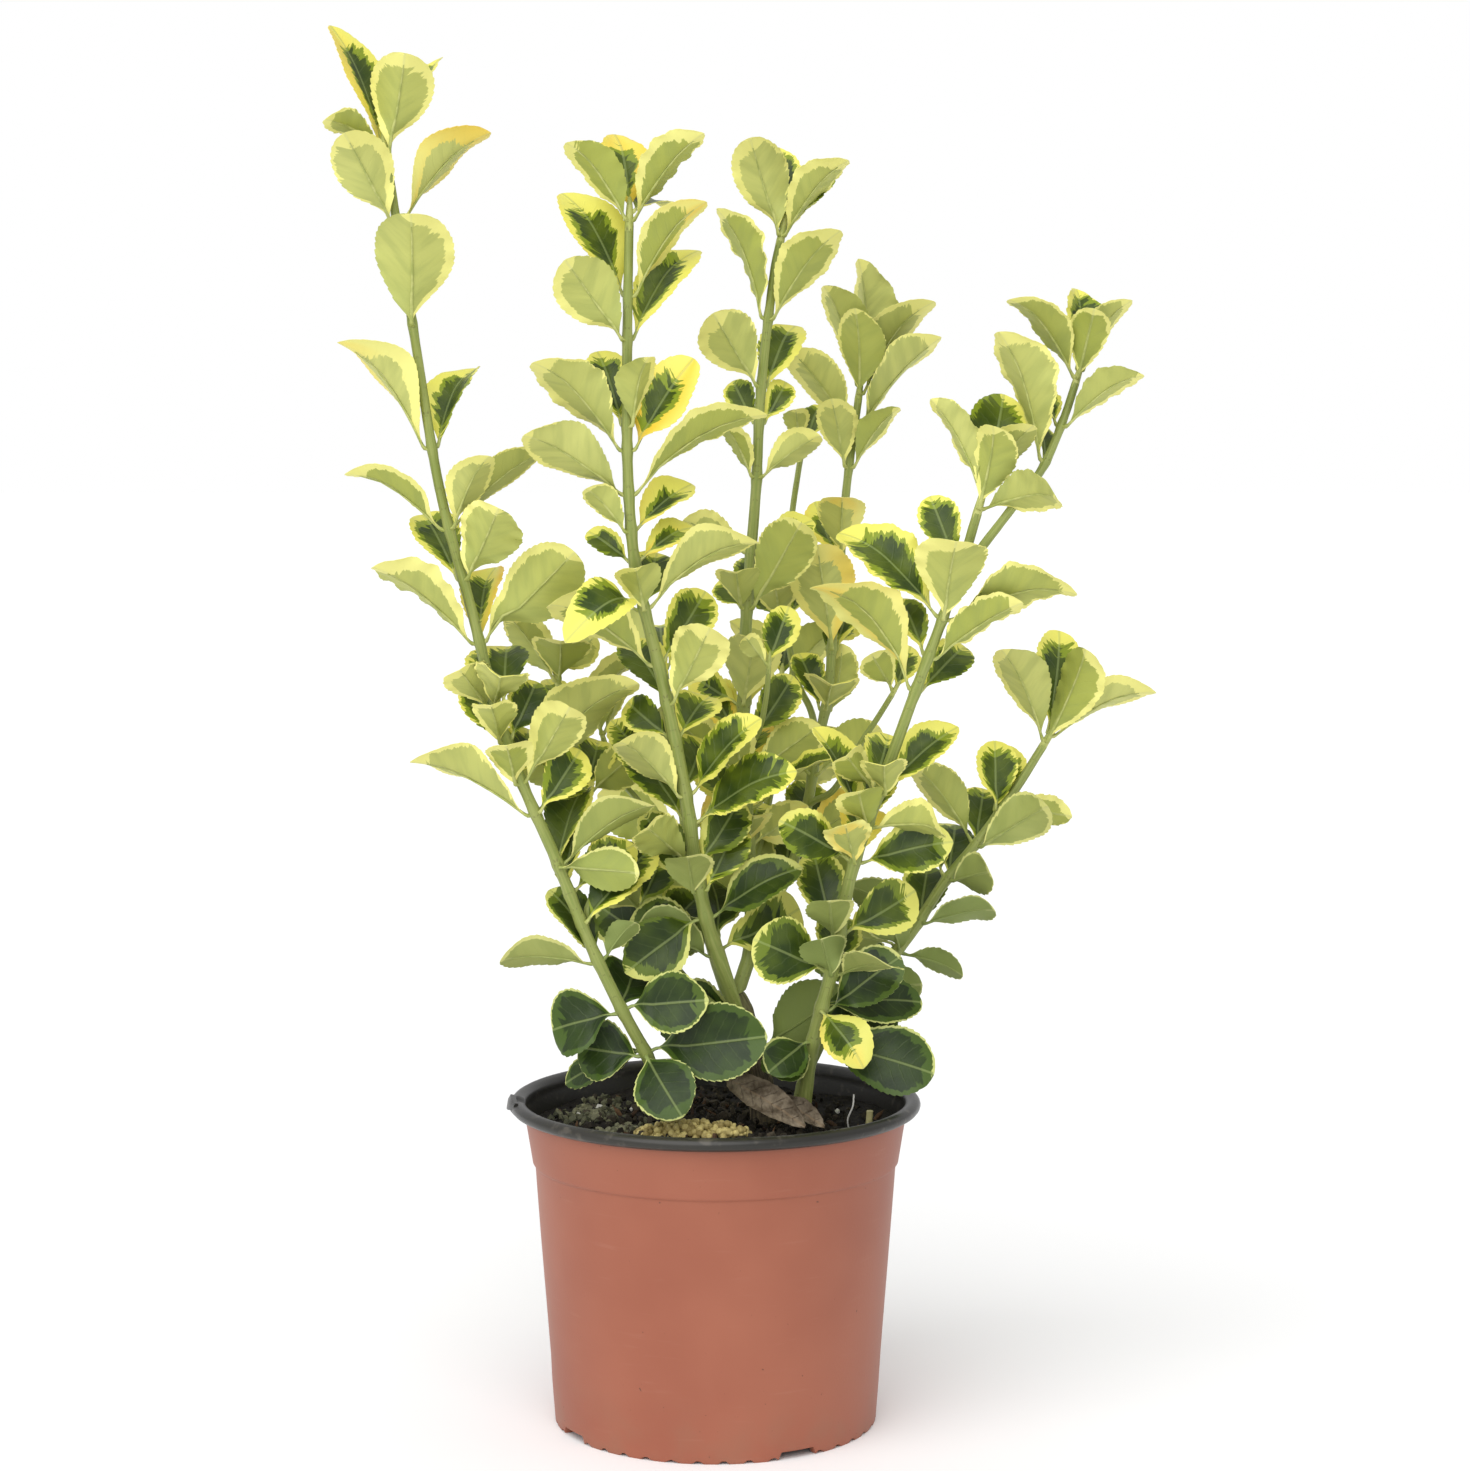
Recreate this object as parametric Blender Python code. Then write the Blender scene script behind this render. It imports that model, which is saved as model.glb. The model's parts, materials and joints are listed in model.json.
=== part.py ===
"""Potted euonymus: a variegated evergreen spindle in a thin plastic nursery pot.

Units in the tables are millimetres, and the meshes are made in metres, +Z up. The origin is on
the floor under the middle of the pot, the front of the plant faces -Y and +X is to its right.

The pot is turned from a profile, the compost fills it, and the stems stand in sockets in the
compost or sit on the side of another stem. Leaves come in whorls. Each whorl is one solid: a
thin collar round the stem with its leaves growing out of it, or, at the end of a stem, the
growing tip with the youngest leaves. Every piece keeps CLEARANCE to its neighbours.
"""

import math
from collections import namedtuple

import bmesh
import bpy
from mathutils import Matrix, Vector, noise
from mathutils.bvhtree import BVHTree

MM = 0.001

# Pot.
POT_RIM_DIAMETER = 172.0
POT_HEIGHT = 137.0
POT_WALL = 1.0
RIM_OVERHANG = 5.8
RIM_HEIGHT = 5.6
COLLAR_BAND_HEIGHT = 22.0
COLLAR_BAND_TAPER = 3.6
COLLAR_BAND_STEP = 0.9
BODY_TAPER = 8.2
FOOT_HEIGHT = 5.0
FOOT_WIDTH = 3.6
FOOT_NOTCHES = 4
FOOT_NOTCH_WIDTH = 18.0
FOOT_NOTCH_HEIGHT = 3.6
FOOT_NOTCH_ANGLE = 30.0
DRAIN_HOLES = 8
DRAIN_HOLE_DIAMETER = 9.0
DRAIN_RING_RADIUS = 44.0
CENTRE_PAD_RADIUS = 16.0
CENTRE_PAD_SLOPE = 4.0
POT_SIDES = 48

# Compost.
COMPOST_DROP = 12.0
COMPOST_BUMP = 1.2
SOCKET_MARGIN = 12.0

# Plant.
PLANT_SCALE = 1.0
LEAF_SCALE = 1.0
STEM_THICKNESS = 1.0
THICKET_GROWTH = 1.18
LEAF_MIDRIB_THICKNESS = 0.9
LEAF_EDGE_THICKNESS = 0.45
LEAF_FOLD = 13.0
LEAF_PROPORTION = 0.56
MOST_FORESHORTENED = 1.9
LEANS_BACK = 80.0
BLADE_WIDEST_AT = 0.57
PETIOLE_WIDTH = 2.0
PETIOLE_SHARE = 0.09
COLLAR_WALL = 0.9
COLLAR_HEIGHT = 3.4
STEM_SIDES = 8
STEM_STATION_SPACING = 34.0

CLEARANCE = 0.35
SEAT_GAP = 0.6

# Between these heights the leaves are older: longer and wider than the table's by
# THICKET_GROWTH. A whorl that the table gives one pair there has a second, crossing it.
THICKET_LOW = 150.0
THICKET_HIGH = 350.0

# Heights in the plant's table are above the floor of a pot whose compost is at this level.
SIGHT_HEIGHT = 431.0
SIGHT_DISTANCE = 1400.0
TABLE_COMPOST_LEVEL = 129.0

# One leaf of a whorl: where its tip is, seen from the stem, the width it shows from the front,
# and how far its middle bows up, as a share of its length. A turn in degrees sets how far its
# upper side is rolled to the front. Without one, the leaf rolls until it shows that width.
Leaf = namedtuple("Leaf", "x y z width turn bow", defaults=(None, 0.06))

# One stem: parent is None for a stem rooted in the compost, or the stem it grows on; seat is
# "side" or "top"; points run from the root or the parent's axis to the tip; whorls hold
# (height, leaves) groups that share one collar; tip lists the leaves at the growing tip.
Stem = namedtuple("Stem", "parent seat base_radius tip_radius points whorls tip", defaults=((), ()))

PLANT = {
    "woody_crown": Stem(
        None, "root", 6.0, 4.6,
        [(23, 6, 109), (18, 5, 150), (9, 4, 184)],
        whorls=[[(159, [Leaf(-30, 16, 20, 26), Leaf(34, 20, 18, 26), Leaf(17, -22, -4, 17, 20)])]],
    ),
    "left_stem": Stem(
        None, "root", 2.6, 1.7,
        [
            (-16, -12, 109), (-24, -18, 148), (-39, -26, 179), (-52, -32, 208),
            (-64, -37, 240), (-83, -43, 288), (-97, -47, 345), (-109, -50, 395),
            (-118, -52, 455), (-128, -54, 524),
        ],
        whorls=[
            [
                (159, [
                    Leaf(42, -12, 8, 28, 65), Leaf(-24, 6, 1, 22, 50),
                    Leaf(13, -22, -18, 22, 10), Leaf(-25, -14, -16, 13, 40),
                ]),
                (177, [Leaf(30, -8, 5, 22, 60), Leaf(-25, 6, -8, 25, 55), Leaf(4, 24, 12, 24)]),
                (198, [
                    Leaf(-33, -12, 3, 14), Leaf(-17, 4, 24, 13), Leaf(13, -8, 15, 9),
                    Leaf(-24, 16, 14, 15),
                ]),
            ],
            [(238, [Leaf(32, -14, 24, 13), Leaf(28, -4, -2, 16), Leaf(9, 20, 28, 15)])],
            [
                (260, [Leaf(-41, -8, 20, 13), Leaf(16, 24, 12, 16)]),
                (273, [Leaf(18, -18, 28, 20), Leaf(37, 6, 36, 18)]),
                (290, [Leaf(10, 16, 20, 15), Leaf(-13, 8, 21, 13)]),
                (305, [Leaf(4, -25, 14, 20), Leaf(-6, 24, 18, 18)]),
            ],
            [
                (331, [Leaf(-34, -12, 27, 16), Leaf(33, -10, 31, 25, None, 0.16), Leaf(3, 20, 26, 13)]),
                (357, [Leaf(16, -22, 29, 27), Leaf(-18, 22, 26, 18)]),
                (378, [Leaf(-38, -5, 25, 12), Leaf(16, -12, 30, 15), Leaf(36, 8, 31, 11)]),
            ],
            [(411, [Leaf(-32, -8, 44, 18), Leaf(14, 22, 34, 16)])],
            [(460, [Leaf(2, -22, 43, 34), Leaf(-3, 26, 36, 24)])],
            [(500, [Leaf(-20, -14, 34, 25), Leaf(34, 4, 37, 14)])],
        ],
        tip=[
            Leaf(9, -14, 40, 28), Leaf(-22, 8, 53, 12), Leaf(25, 10, 42, 8), Leaf(-15, -4, 26, 10),
        ],
    ),
    "mid_left_stem": Stem(
        "woody_crown", "side", 3.0, 1.7,
        [
            (9, 4, 178), (3, -3, 195), (-3, -9, 213), (-8, -17, 238), (-11, -25, 262),
            (-16, -34, 290), (-22, -42, 320), (-31, -51, 360), (-34, -57, 400),
            (-34, -61, 450), (-33, -63, 498),
        ],
        whorls=[
            [
                (201, [Leaf(-28, -10, 12, 22), Leaf(30, 14, 14, 24)]),
                (216, [Leaf(-31, 4, -14, 22, 55), Leaf(32, -10, 20, 15), Leaf(-15, 16, -16, 16)]),
                (228, [Leaf(-20, 8, 26, 16, 20), Leaf(10, 22, 14, 18)]),
            ],
            [
                (256, [Leaf(34, -12, 21, 15), Leaf(-27, 8, 35, 20, 20)]),
                (268, [Leaf(-22, -18, 22, 18), Leaf(25, -6, 27, 13)]),
            ],
            [
                (291, [Leaf(12, 14, 14, 18, 15), Leaf(-17, 10, 12, 13)]),
                (306, [Leaf(15, -18, 27, 21), Leaf(-14, 20, 20, 14)]),
            ],
            [
                (322, [Leaf(-35, -14, 24, 19), Leaf(16, 14, 24, 18)]),
                (345, [Leaf(-36, -8, -4, 16, None, 0.32), Leaf(38, -10, 24, 14, None, 0.12)]),
            ],
            [
                (364, [Leaf(23, 10, 15, 16, 30), Leaf(-19, 8, 12, 10)]),
                (377, [Leaf(24, 14, 18, 22, 20), Leaf(-17, -10, 18, 13)]),
            ],
            [(392, [Leaf(-40, -16, 25, 22), Leaf(54, -8, 32, 15, None, 0.12)])],
            [
                (410, [Leaf(-34, -14, 37, 21), Leaf(26, 2, 36, 21)]),
                (420, [Leaf(-12, 16, 30, 18), Leaf(8, -16, 28, 14)]),
            ],
            [
                (454, [Leaf(-24, -12, 31, 25), Leaf(25, 14, 38, 16)]),
                (471, [Leaf(28, -6, 38, 16), Leaf(-24, 10, 42, 18)]),
            ],
        ],
        tip=[Leaf(-22, -12, 33, 17), Leaf(28, -10, 36, 16), Leaf(-5, 14, 38, 17), Leaf(14, 14, 24, 12)],
    ),
    "middle_stem": Stem(
        "woody_crown", "top", 3.0, 1.7,
        [
            (9, 4, 184), (15, 7, 206), (14, 9, 240), (12, 12, 280), (12, 14, 320),
            (14, 16, 357), (17, 18, 395), (19, 20, 435), (24, 21, 480), (27, 21, 496),
        ],
        whorls=[
            [
                (247, [Leaf(2, -18, 14, 15), Leaf(21, 12, 12, 16)]),
                (262, [Leaf(37, -6, 22, 14, 25), Leaf(-16, 14, 18, 16)]),
            ],
            [(305, [Leaf(4, -20, 27, 22), Leaf(-19, 12, 10, 13)])],
            [
                (345, [Leaf(19, -16, 31, 22), Leaf(-10, 8, 10, 10)]),
                (368, [Leaf(-28, -8, 14, 15), Leaf(26, 10, 13, 12)]),
            ],
            [
                (399, [Leaf(26, -10, 18, 15), Leaf(-13, -6, 22, 10)]),
                (421, [Leaf(-11, 12, 18, 13), Leaf(12, 12, 18, 13)]),
                (436, [Leaf(-20, -14, 30, 27), Leaf(14, 20, 28, 18)]),
            ],
            [(464, [Leaf(28, -12, 37, 18), Leaf(-19, 3, 46, 14)])],
        ],
        tip=[Leaf(-13, -14, 42, 25), Leaf(26, -10, 34, 16), Leaf(-3, 14, 40, 20), Leaf(20, 12, 44, 12)],
    ),
    "mid_right_stem": Stem(
        "middle_stem", "side", 2.4, 1.6,
        [
            (15, 7, 206), (24, 15, 222), (33, 23, 240), (39, 31, 264), (43, 38, 287),
            (48, 45, 310), (50, 50, 334), (53, 55, 362), (56, 59, 395), (61, 61, 431),
        ],
        whorls=[
            [
                (303, [Leaf(2, -18, 12, 22), Leaf(-10, 12, 20, 12), Leaf(10, 12, 20, 12)]),
                (328, [Leaf(-6, -20, 40, 25), Leaf(10, 18, 24, 16)]),
            ],
            [(366, [Leaf(0, -20, 28, 21), Leaf(-11, 14, 24, 16)])],
            [
                (403, [Leaf(-8, -14, 30, 18), Leaf(15, -4, 30, 12)]),
                (419, [Leaf(-27, -10, 33, 20), Leaf(36, -6, 39, 16)]),
            ],
        ],
        tip=[Leaf(-2, -18, 38, 17), Leaf(27, -8, 44, 16), Leaf(-19, -8, 46, 16), Leaf(0, 14, 58, 20)],
    ),
    "right_stem": Stem(
        None, "root", 3.0, 1.8,
        [
            (34, -2, 109), (40, -9, 160), (49, -17, 198), (56, -25, 236), (67, -33, 270),
            (79, -41, 306), (90, -47, 338), (98, -51, 362), (104, -53, 384),
        ],
        whorls=[
            [
                (164, [
                    Leaf(42, -8, -10, 24, 55), Leaf(-16, -16, -8, 16, 30),
                    Leaf(30, 20, 8, 24, 40), Leaf(30, -18, -20, 14, 30),
                ]),
                (178, [Leaf(25, -6, 22, 20, 60), Leaf(14, -20, -16, 18, 30), Leaf(36, 12, 0, 16)]),
            ],
            [
                (193, [Leaf(-27, -8, 13, 24, 65), Leaf(34, -12, 8, 14)]),
                (209, [Leaf(-9, 12, 28, 18), Leaf(27, 10, 14, 20)]),
            ],
            [
                (240, [Leaf(33, -8, 8, 20, 55), Leaf(-26, -8, 15, 17, 60)]),
                (255, [Leaf(31, -14, 2, 15), Leaf(-18, -2, 34, 12)]),
                (269, [Leaf(-14, -14, 16, 14), Leaf(27, 6, 22, 13)]),
            ],
            [
                (311, [Leaf(-34, -12, 38, 17, None, 0.15), Leaf(18, 18, 14, 14)]),
                (325, [Leaf(31, -8, 19, 15), Leaf(-10, 12, 20, 11)]),
            ],
            [(341, [Leaf(3, -22, 28, 26), Leaf(43, 4, 14, 14), Leaf(-33, 8, 31, 17)])],
        ],
        tip=[
            Leaf(6, -18, 36, 17), Leaf(38, -8, 17, 19), Leaf(-6, -10, 25, 13),
            Leaf(12, 16, 48, 20), Leaf(-23, -2, 43, 11), Leaf(17, -8, 38, 15),
        ],
    ),
    "right_top_stem": Stem(
        "right_stem", "side", 1.8, 1.5,
        [
            (96.5, -50, 357), (108, -54, 373), (119, -54, 388),
            (130, -52, 403), (138, -49, 422), (143, -47, 437),
        ],
        whorls=[
            [
                (405, [Leaf(-19, -4, 52, 20), Leaf(6, 10, 22, 9)]),
                (420, [Leaf(30, -6, 22, 12), Leaf(-9, 10, 18, 9)]),
            ],
        ],
        tip=[Leaf(6, -14, 30, 17), Leaf(-22, -4, 38, 13), Leaf(19, -2, 34, 11), Leaf(2, 14, 38, 17)],
    ),
    "low_right_stem": Stem(
        None, "root", 2.9, 1.7,
        [
            (30, 16, 109), (39, 19, 152), (57, 22, 182), (80, 25, 206), (97, 28, 231),
            (112, 31, 249), (128, 34, 271), (139, 36, 288),
        ],
        whorls=[
            [
                (187, [Leaf(22, -6, 2, 15), Leaf(-14, 12, 16, 18)]),
                (203, [Leaf(23, -8, -8, 10), Leaf(-20, -8, 6, 11)]),
                (215, [Leaf(26, -12, 6, 12), Leaf(-25, 4, 12, 14)]),
            ],
            [
                (233, [Leaf(14, -14, 4, 16), Leaf(-8, 2, 16, 15, 40)]),
                (247, [Leaf(25, -14, 16, 19), Leaf(-22, -2, 29, 14)]),
                (260, [Leaf(2, 12, 25, 19), Leaf(26, 8, -1, 13)]),
            ],
        ],
        tip=[
            Leaf(-18, -12, 43, 20), Leaf(17, -12, 42, 19), Leaf(17, 12, 48, 25),
            Leaf(45, -4, 27, 13), Leaf(-16, 8, 27, 11),
        ],
    ),
    "left_inner_stem": Stem(
        "left_stem", "side", 1.8, 1.4,
        [(-54, -33, 213), (-48, -24, 232), (-50, -13, 252), (-56, -3, 279), (-61, 3, 298), (-65, 6, 313)],
        whorls=[[
            (268, [Leaf(-20, -14, 16, 16), Leaf(20, 10, 16, 16)]),
            (297, [Leaf(25, 6, 24, 9), Leaf(-8, 10, 16, 10)]),
        ]],
        tip=[Leaf(-20, -2, 30, 18), Leaf(2, -16, 21, 26), Leaf(15, 8, 20, 15)],
    ),
    "back_left_stem": Stem(
        "woody_crown", "side", 2.2, 1.5,
        [(10, 5, 169), (-1, 26, 200), (-11, 43, 240), (-17, 56, 280), (-22, 64, 318)],
        whorls=[[
            (222, [Leaf(-28, -4, 14, 22), Leaf(26, 6, 16, 22)]),
            (252, [Leaf(-32, 14, 12, 22), Leaf(30, 20, 16, 20)]),
            (286, [Leaf(6, 32, 18, 20), Leaf(-10, -22, 16, 16)]),
        ]],
        tip=[Leaf(-26, 12, 26, 18), Leaf(18, 16, 28, 16), Leaf(2, 30, 24, 18)],
    ),
    "back_right_stem": Stem(
        "middle_stem", "side", 2.0, 1.5,
        [(14, 9, 232), (20, 34, 254), (25, 54, 280), (28, 68, 312)],
        whorls=[[(275, [Leaf(30, 16, 12, 20), Leaf(-22, 24, 14, 18)])]],
        tip=[Leaf(24, 14, 26, 17), Leaf(-20, 18, 28, 16), Leaf(4, 32, 22, 18)],
    ),
}

# Withered leaves on the compost: root, tip, width, turn and bow.
WITHERED_LEAVES = {
    "withered_leaf_1": ((3, -10, 151), (37, -29, 134.5), 19.0, 55.0, 0.14),
}

# Loose patches of slow-release fertiliser: middle, half length and half width.
GRANULE_PATCHES = {
    "fertiliser_granules": ((-8, -29), 23.0, 7.5),
}
GRANULE_PATCH_HEIGHT = 5.0

TERRACOTTA = (0.42, 0.13, 0.07, 1.0)
COMPOST_BROWN = (0.03, 0.022, 0.017, 1.0)
BARK = (0.10, 0.08, 0.045, 1.0)
STEM_GREEN = (0.28, 0.34, 0.07, 1.0)
LEAF_GREEN = (0.30, 0.36, 0.08, 1.0)
WITHERED_BROWN = (0.18, 0.10, 0.06, 1.0)
GRANULE_TAN = (0.55, 0.40, 0.14, 1.0)

COMPOST_LEVEL = POT_HEIGHT - COMPOST_DROP
RIM_RADIUS = POT_RIM_DIAMETER / 2
FRONT = Vector((0, -1, 0))


def clear_scene():
    for thing in list(bpy.data.objects):
        bpy.data.objects.remove(thing, do_unlink=True)


def material(name, colour, roughness):
    made = bpy.data.materials.new(name)
    made.use_nodes = True
    shader = made.node_tree.nodes["Principled BSDF"]
    shader.inputs["Base Color"].default_value = colour
    shader.inputs["Roughness"].default_value = roughness
    shader.inputs["Metallic"].default_value = 0.0
    return made


def add_object(name, bm, colour, roughness, smooth_angle=40.0):
    """The finished bmesh, in millimetres, as a named object in metres."""
    bmesh.ops.recalc_face_normals(bm, faces=bm.faces)
    bmesh.ops.scale(bm, vec=(MM, MM, MM), verts=bm.verts)
    mesh = bpy.data.meshes.new(name)
    bm.to_mesh(mesh)
    bm.free()
    mesh.shade_smooth()
    mesh.set_sharp_from_angle(angle=math.radians(smooth_angle))
    made = bpy.data.objects.new(name, mesh)
    mesh.materials.append(material(name, colour, roughness))
    bpy.context.collection.objects.link(made)
    return made


def add_cutter(name, bm):
    """A helper solid that only cuts others."""
    made = add_object(name, bm, (1, 0, 0, 1), 0.5)
    made.hide_render = True
    made.display_type = "WIRE"
    return made


def cut(target, cutter):
    boolean = target.modifiers.new(cutter.name, "BOOLEAN")
    boolean.operation = "DIFFERENCE"
    boolean.object = cutter


def lathe(profile, sides):
    """A turned solid, from a profile that starts and ends on the axis."""
    bm = bmesh.new()
    points = [bm.verts.new((radius, 0, height)) for radius, height in profile]
    for start, end in zip(points, points[1:]):
        bm.edges.new((start, end))
    bmesh.ops.spin(
        bm, geom=bm.verts[:] + bm.edges[:], axis=(0, 0, 1), cent=(0, 0, 0),
        angle=math.tau, steps=sides, use_merge=True,
    )
    bmesh.ops.remove_doubles(bm, verts=bm.verts, dist=0.001)
    return bm


# The pot and what is in it.


def outer_radius(height):
    """The pot's outer radius below the rim, at a height above the floor."""
    band_top = RIM_RADIUS - RIM_OVERHANG
    band_bottom = band_top - COLLAR_BAND_TAPER
    body_top = band_bottom - COLLAR_BAND_STEP
    step_height = POT_HEIGHT - RIM_HEIGHT - COLLAR_BAND_HEIGHT
    if height >= step_height:
        return band_bottom + COLLAR_BAND_TAPER * (height - step_height) / COLLAR_BAND_HEIGHT
    return body_top - BODY_TAPER * (step_height - height) / step_height


def pot_profile():
    """The pot's wall in section, from the middle of its base up, over the rim and back inside.

    It stands on a notched foot ring and on a pad in the middle, with a raised, drained channel
    between them.
    """
    under_rim = POT_HEIGHT - RIM_HEIGHT
    step = under_rim - COLLAR_BAND_HEIGHT
    floor_top = FOOT_HEIGHT + POT_WALL
    foot = outer_radius(0)
    above_notches = FOOT_NOTCH_HEIGHT + 1.5
    band_top = outer_radius(under_rim)
    return [
        (0, 0),
        (CENTRE_PAD_RADIUS, 0),
        (CENTRE_PAD_RADIUS + CENTRE_PAD_SLOPE, FOOT_HEIGHT),
        (foot - FOOT_WIDTH, FOOT_HEIGHT),
        (foot - FOOT_WIDTH, 0),
        (foot, 0),
        (outer_radius(above_notches), above_notches),
        (outer_radius(step - 0.01), step),
        (outer_radius(step), step + 1.0),
        (band_top, under_rim),
        (RIM_RADIUS - 1.6, under_rim),
        (RIM_RADIUS, under_rim + 1.4),
        (RIM_RADIUS, under_rim + 3.6),
        (RIM_RADIUS - 2.0, POT_HEIGHT),
        (RIM_RADIUS - 5.0, POT_HEIGHT),
        (band_top - POT_WALL, under_rim - 0.5),
        (outer_radius(step) - POT_WALL, step + 1.0),
        (outer_radius(step - 0.01) - POT_WALL, step - POT_WALL),
        (outer_radius(floor_top) - POT_WALL, floor_top),
        (CENTRE_PAD_RADIUS + CENTRE_PAD_SLOPE, floor_top),
        (CENTRE_PAD_RADIUS, POT_WALL),
        (0, POT_WALL),
    ]


def ring_of_cutters(name, count, first_angle, radius, make_shape):
    """Cutters repeated round the pot's axis, joined in one helper object."""
    bm = bmesh.new()
    for i in range(count):
        turned = Matrix.Rotation(math.radians(first_angle) + math.tau * i / count, 4, "Z")
        make_shape(bm, turned @ Matrix.Translation((radius, 0, 0)))
    return add_cutter(name, bm)


def notch_shape(bm, placed):
    height = FOOT_NOTCH_HEIGHT * 2
    size = Matrix.Diagonal((FOOT_WIDTH * 4, FOOT_NOTCH_WIDTH, height, 1))
    bmesh.ops.create_cube(bm, size=1.0, matrix=placed @ size)


def drain_shape(bm, placed):
    raised = Matrix.Translation((0, 0, FOOT_HEIGHT))
    bmesh.ops.create_cone(
        bm, cap_ends=True, segments=8, radius1=DRAIN_HOLE_DIAMETER / 2,
        radius2=DRAIN_HOLE_DIAMETER / 2, depth=POT_WALL * 6, matrix=placed @ raised,
    )


def make_pot():
    pot = add_object("pot", lathe(pot_profile(), POT_SIDES), TERRACOTTA, 0.45)
    foot = outer_radius(0)
    cut(pot, ring_of_cutters("notch_cutters", FOOT_NOTCHES, FOOT_NOTCH_ANGLE - 90, foot, notch_shape))
    cut(pot, ring_of_cutters("drain_cutters", DRAIN_HOLES, 0, DRAIN_RING_RADIUS, drain_shape))


def compost_surface(x, y):
    """Height of the compost: a low dome with crumbs and hollows."""
    bump = noise.noise(Vector((x * 0.06, y * 0.06, 0.7)))
    return COMPOST_LEVEL + COMPOST_BUMP * max(-1.0, min(1.0, 2.0 * bump))


def make_compost(roots):
    floor = FOOT_HEIGHT + POT_WALL + CLEARANCE
    step = POT_HEIGHT - RIM_HEIGHT - COLLAR_BAND_HEIGHT
    inset = POT_WALL + CLEARANCE
    rim_level = COMPOST_LEVEL
    edge = outer_radius(rim_level) - inset
    rings = [edge * share for share in (1.0, 0.86, 0.70, 0.53, 0.35, 0.17, 0.0)]
    profile = [
        (0, POT_WALL + CLEARANCE),
        (CENTRE_PAD_RADIUS - CLEARANCE, POT_WALL + CLEARANCE),
        (CENTRE_PAD_RADIUS + CENTRE_PAD_SLOPE - CLEARANCE, floor),
        (outer_radius(floor) - inset, floor),
    ]
    profile.append((outer_radius(step - 0.01) - inset, step - POT_WALL - CLEARANCE))
    profile.append((outer_radius(step) - inset, step + 1.0))
    profile += [(radius, rim_level) for radius in rings]
    bm = lathe(profile, POT_SIDES)
    for vert in bm.verts:
        reach = vert.co.to_2d().length
        if vert.co.z > rim_level - 0.001 and reach < edge - 0.1:
            vert.co.z = compost_surface(vert.co.x, vert.co.y)
    compost = add_object("compost", bm, COMPOST_BROWN, 0.95)
    for name, path in roots.items():
        socket = bmesh.new()
        ends = [path.place(0.0), path.place(path.length_at(COMPOST_LEVEL + SOCKET_MARGIN))]
        lower, upper = (path.ring(socket, end, path.radius(end.length) + CLEARANCE) for end in ends)
        bridge(socket, lower, upper)
        socket.faces.new(lower)
        socket.faces.new(upper)
        cut(compost, add_cutter(name + "_socket", socket))


def make_granules(name, middle, half_length, half_width):
    """A low heap of granules, flat underneath so that it lies on the highest crumbs."""
    bm = bmesh.new()
    bmesh.ops.create_icosphere(bm, subdivisions=3, radius=1.0)
    base = COMPOST_LEVEL + COMPOST_BUMP + CLEARANCE
    for vert in bm.verts:
        lump = 1.0 + 0.22 * noise.noise(vert.co * 3.1)
        x = middle[0] + vert.co.x * half_length * lump
        y = middle[1] + vert.co.y * half_width * lump
        z = base + GRANULE_PATCH_HEIGHT * max(0.0, vert.co.z) * lump
        vert.co = (x, y, z + 0.4 * min(0.0, vert.co.z) + 0.4)
    add_object(name, bm, GRANULE_TAN, 0.9)


# Stems.


Place = namedtuple("Place", "length point along across side")


def frame_at(length, point, along):
    """A place on a stem, with a direction across it to the front and one to its side."""
    across = (FRONT - along * FRONT.dot(along)).normalized()
    return Place(length, point, along, across, along.cross(across))


def bridge(bm, first, second):
    """Quads between two closed loops of vertices."""
    count = len(first)
    for i in range(count):
        j = (i + 1) % count
        bm.faces.new((first[i], first[j], second[j], second[i]))


class StemPath:
    """A smooth, tapering centre line, measured by the length from its lower end."""

    def __init__(self, points, base_radius, tip_radius):
        self.base_radius = base_radius * STEM_THICKNESS
        self.tip_radius = tip_radius * STEM_THICKNESS
        self.line = smooth_line([Vector(point) for point in points])
        self.lengths = [0.0]
        for start, end in zip(self.line, self.line[1:]):
            self.lengths.append(self.lengths[-1] + (end - start).length)
        self.total = self.lengths[-1]

    def radius(self, length):
        share = max(0.0, min(1.0, length / self.total))
        return self.base_radius + (self.tip_radius - self.base_radius) * share

    def place(self, length):
        """Where the stem is at a length, and which way it runs there."""
        i = 0
        while i < len(self.line) - 2 and self.lengths[i + 1] < length:
            i += 1
        share = (length - self.lengths[i]) / (self.lengths[i + 1] - self.lengths[i])
        point = self.line[i].lerp(self.line[i + 1], share)
        before = self.line[max(0, i - 1)]
        after = self.line[min(len(self.line) - 1, i + 2)]
        return frame_at(length, point, (after - before).normalized())

    def length_at(self, height):
        """The length at which the stem, which always climbs, reaches a height."""
        for i in range(len(self.line) - 1):
            low, high = self.line[i].z, self.line[i + 1].z
            if height <= high:
                share = max(0.0, (height - low) / (high - low))
                return self.lengths[i] + share * (self.lengths[i + 1] - self.lengths[i])
        return self.total

    def ring(self, bm, place, radius):
        """Vertices round the stem, the first one at the front."""
        made = []
        for k in range(STEM_SIDES):
            made.append(bm.verts.new(place.point + spoke(place, k) * radius))
        return made


def spoke(place, k):
    """Direction from the stem's axis to corner k."""
    angle = math.tau * k / STEM_SIDES
    return place.across * math.cos(angle) + place.side * math.sin(angle)


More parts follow.
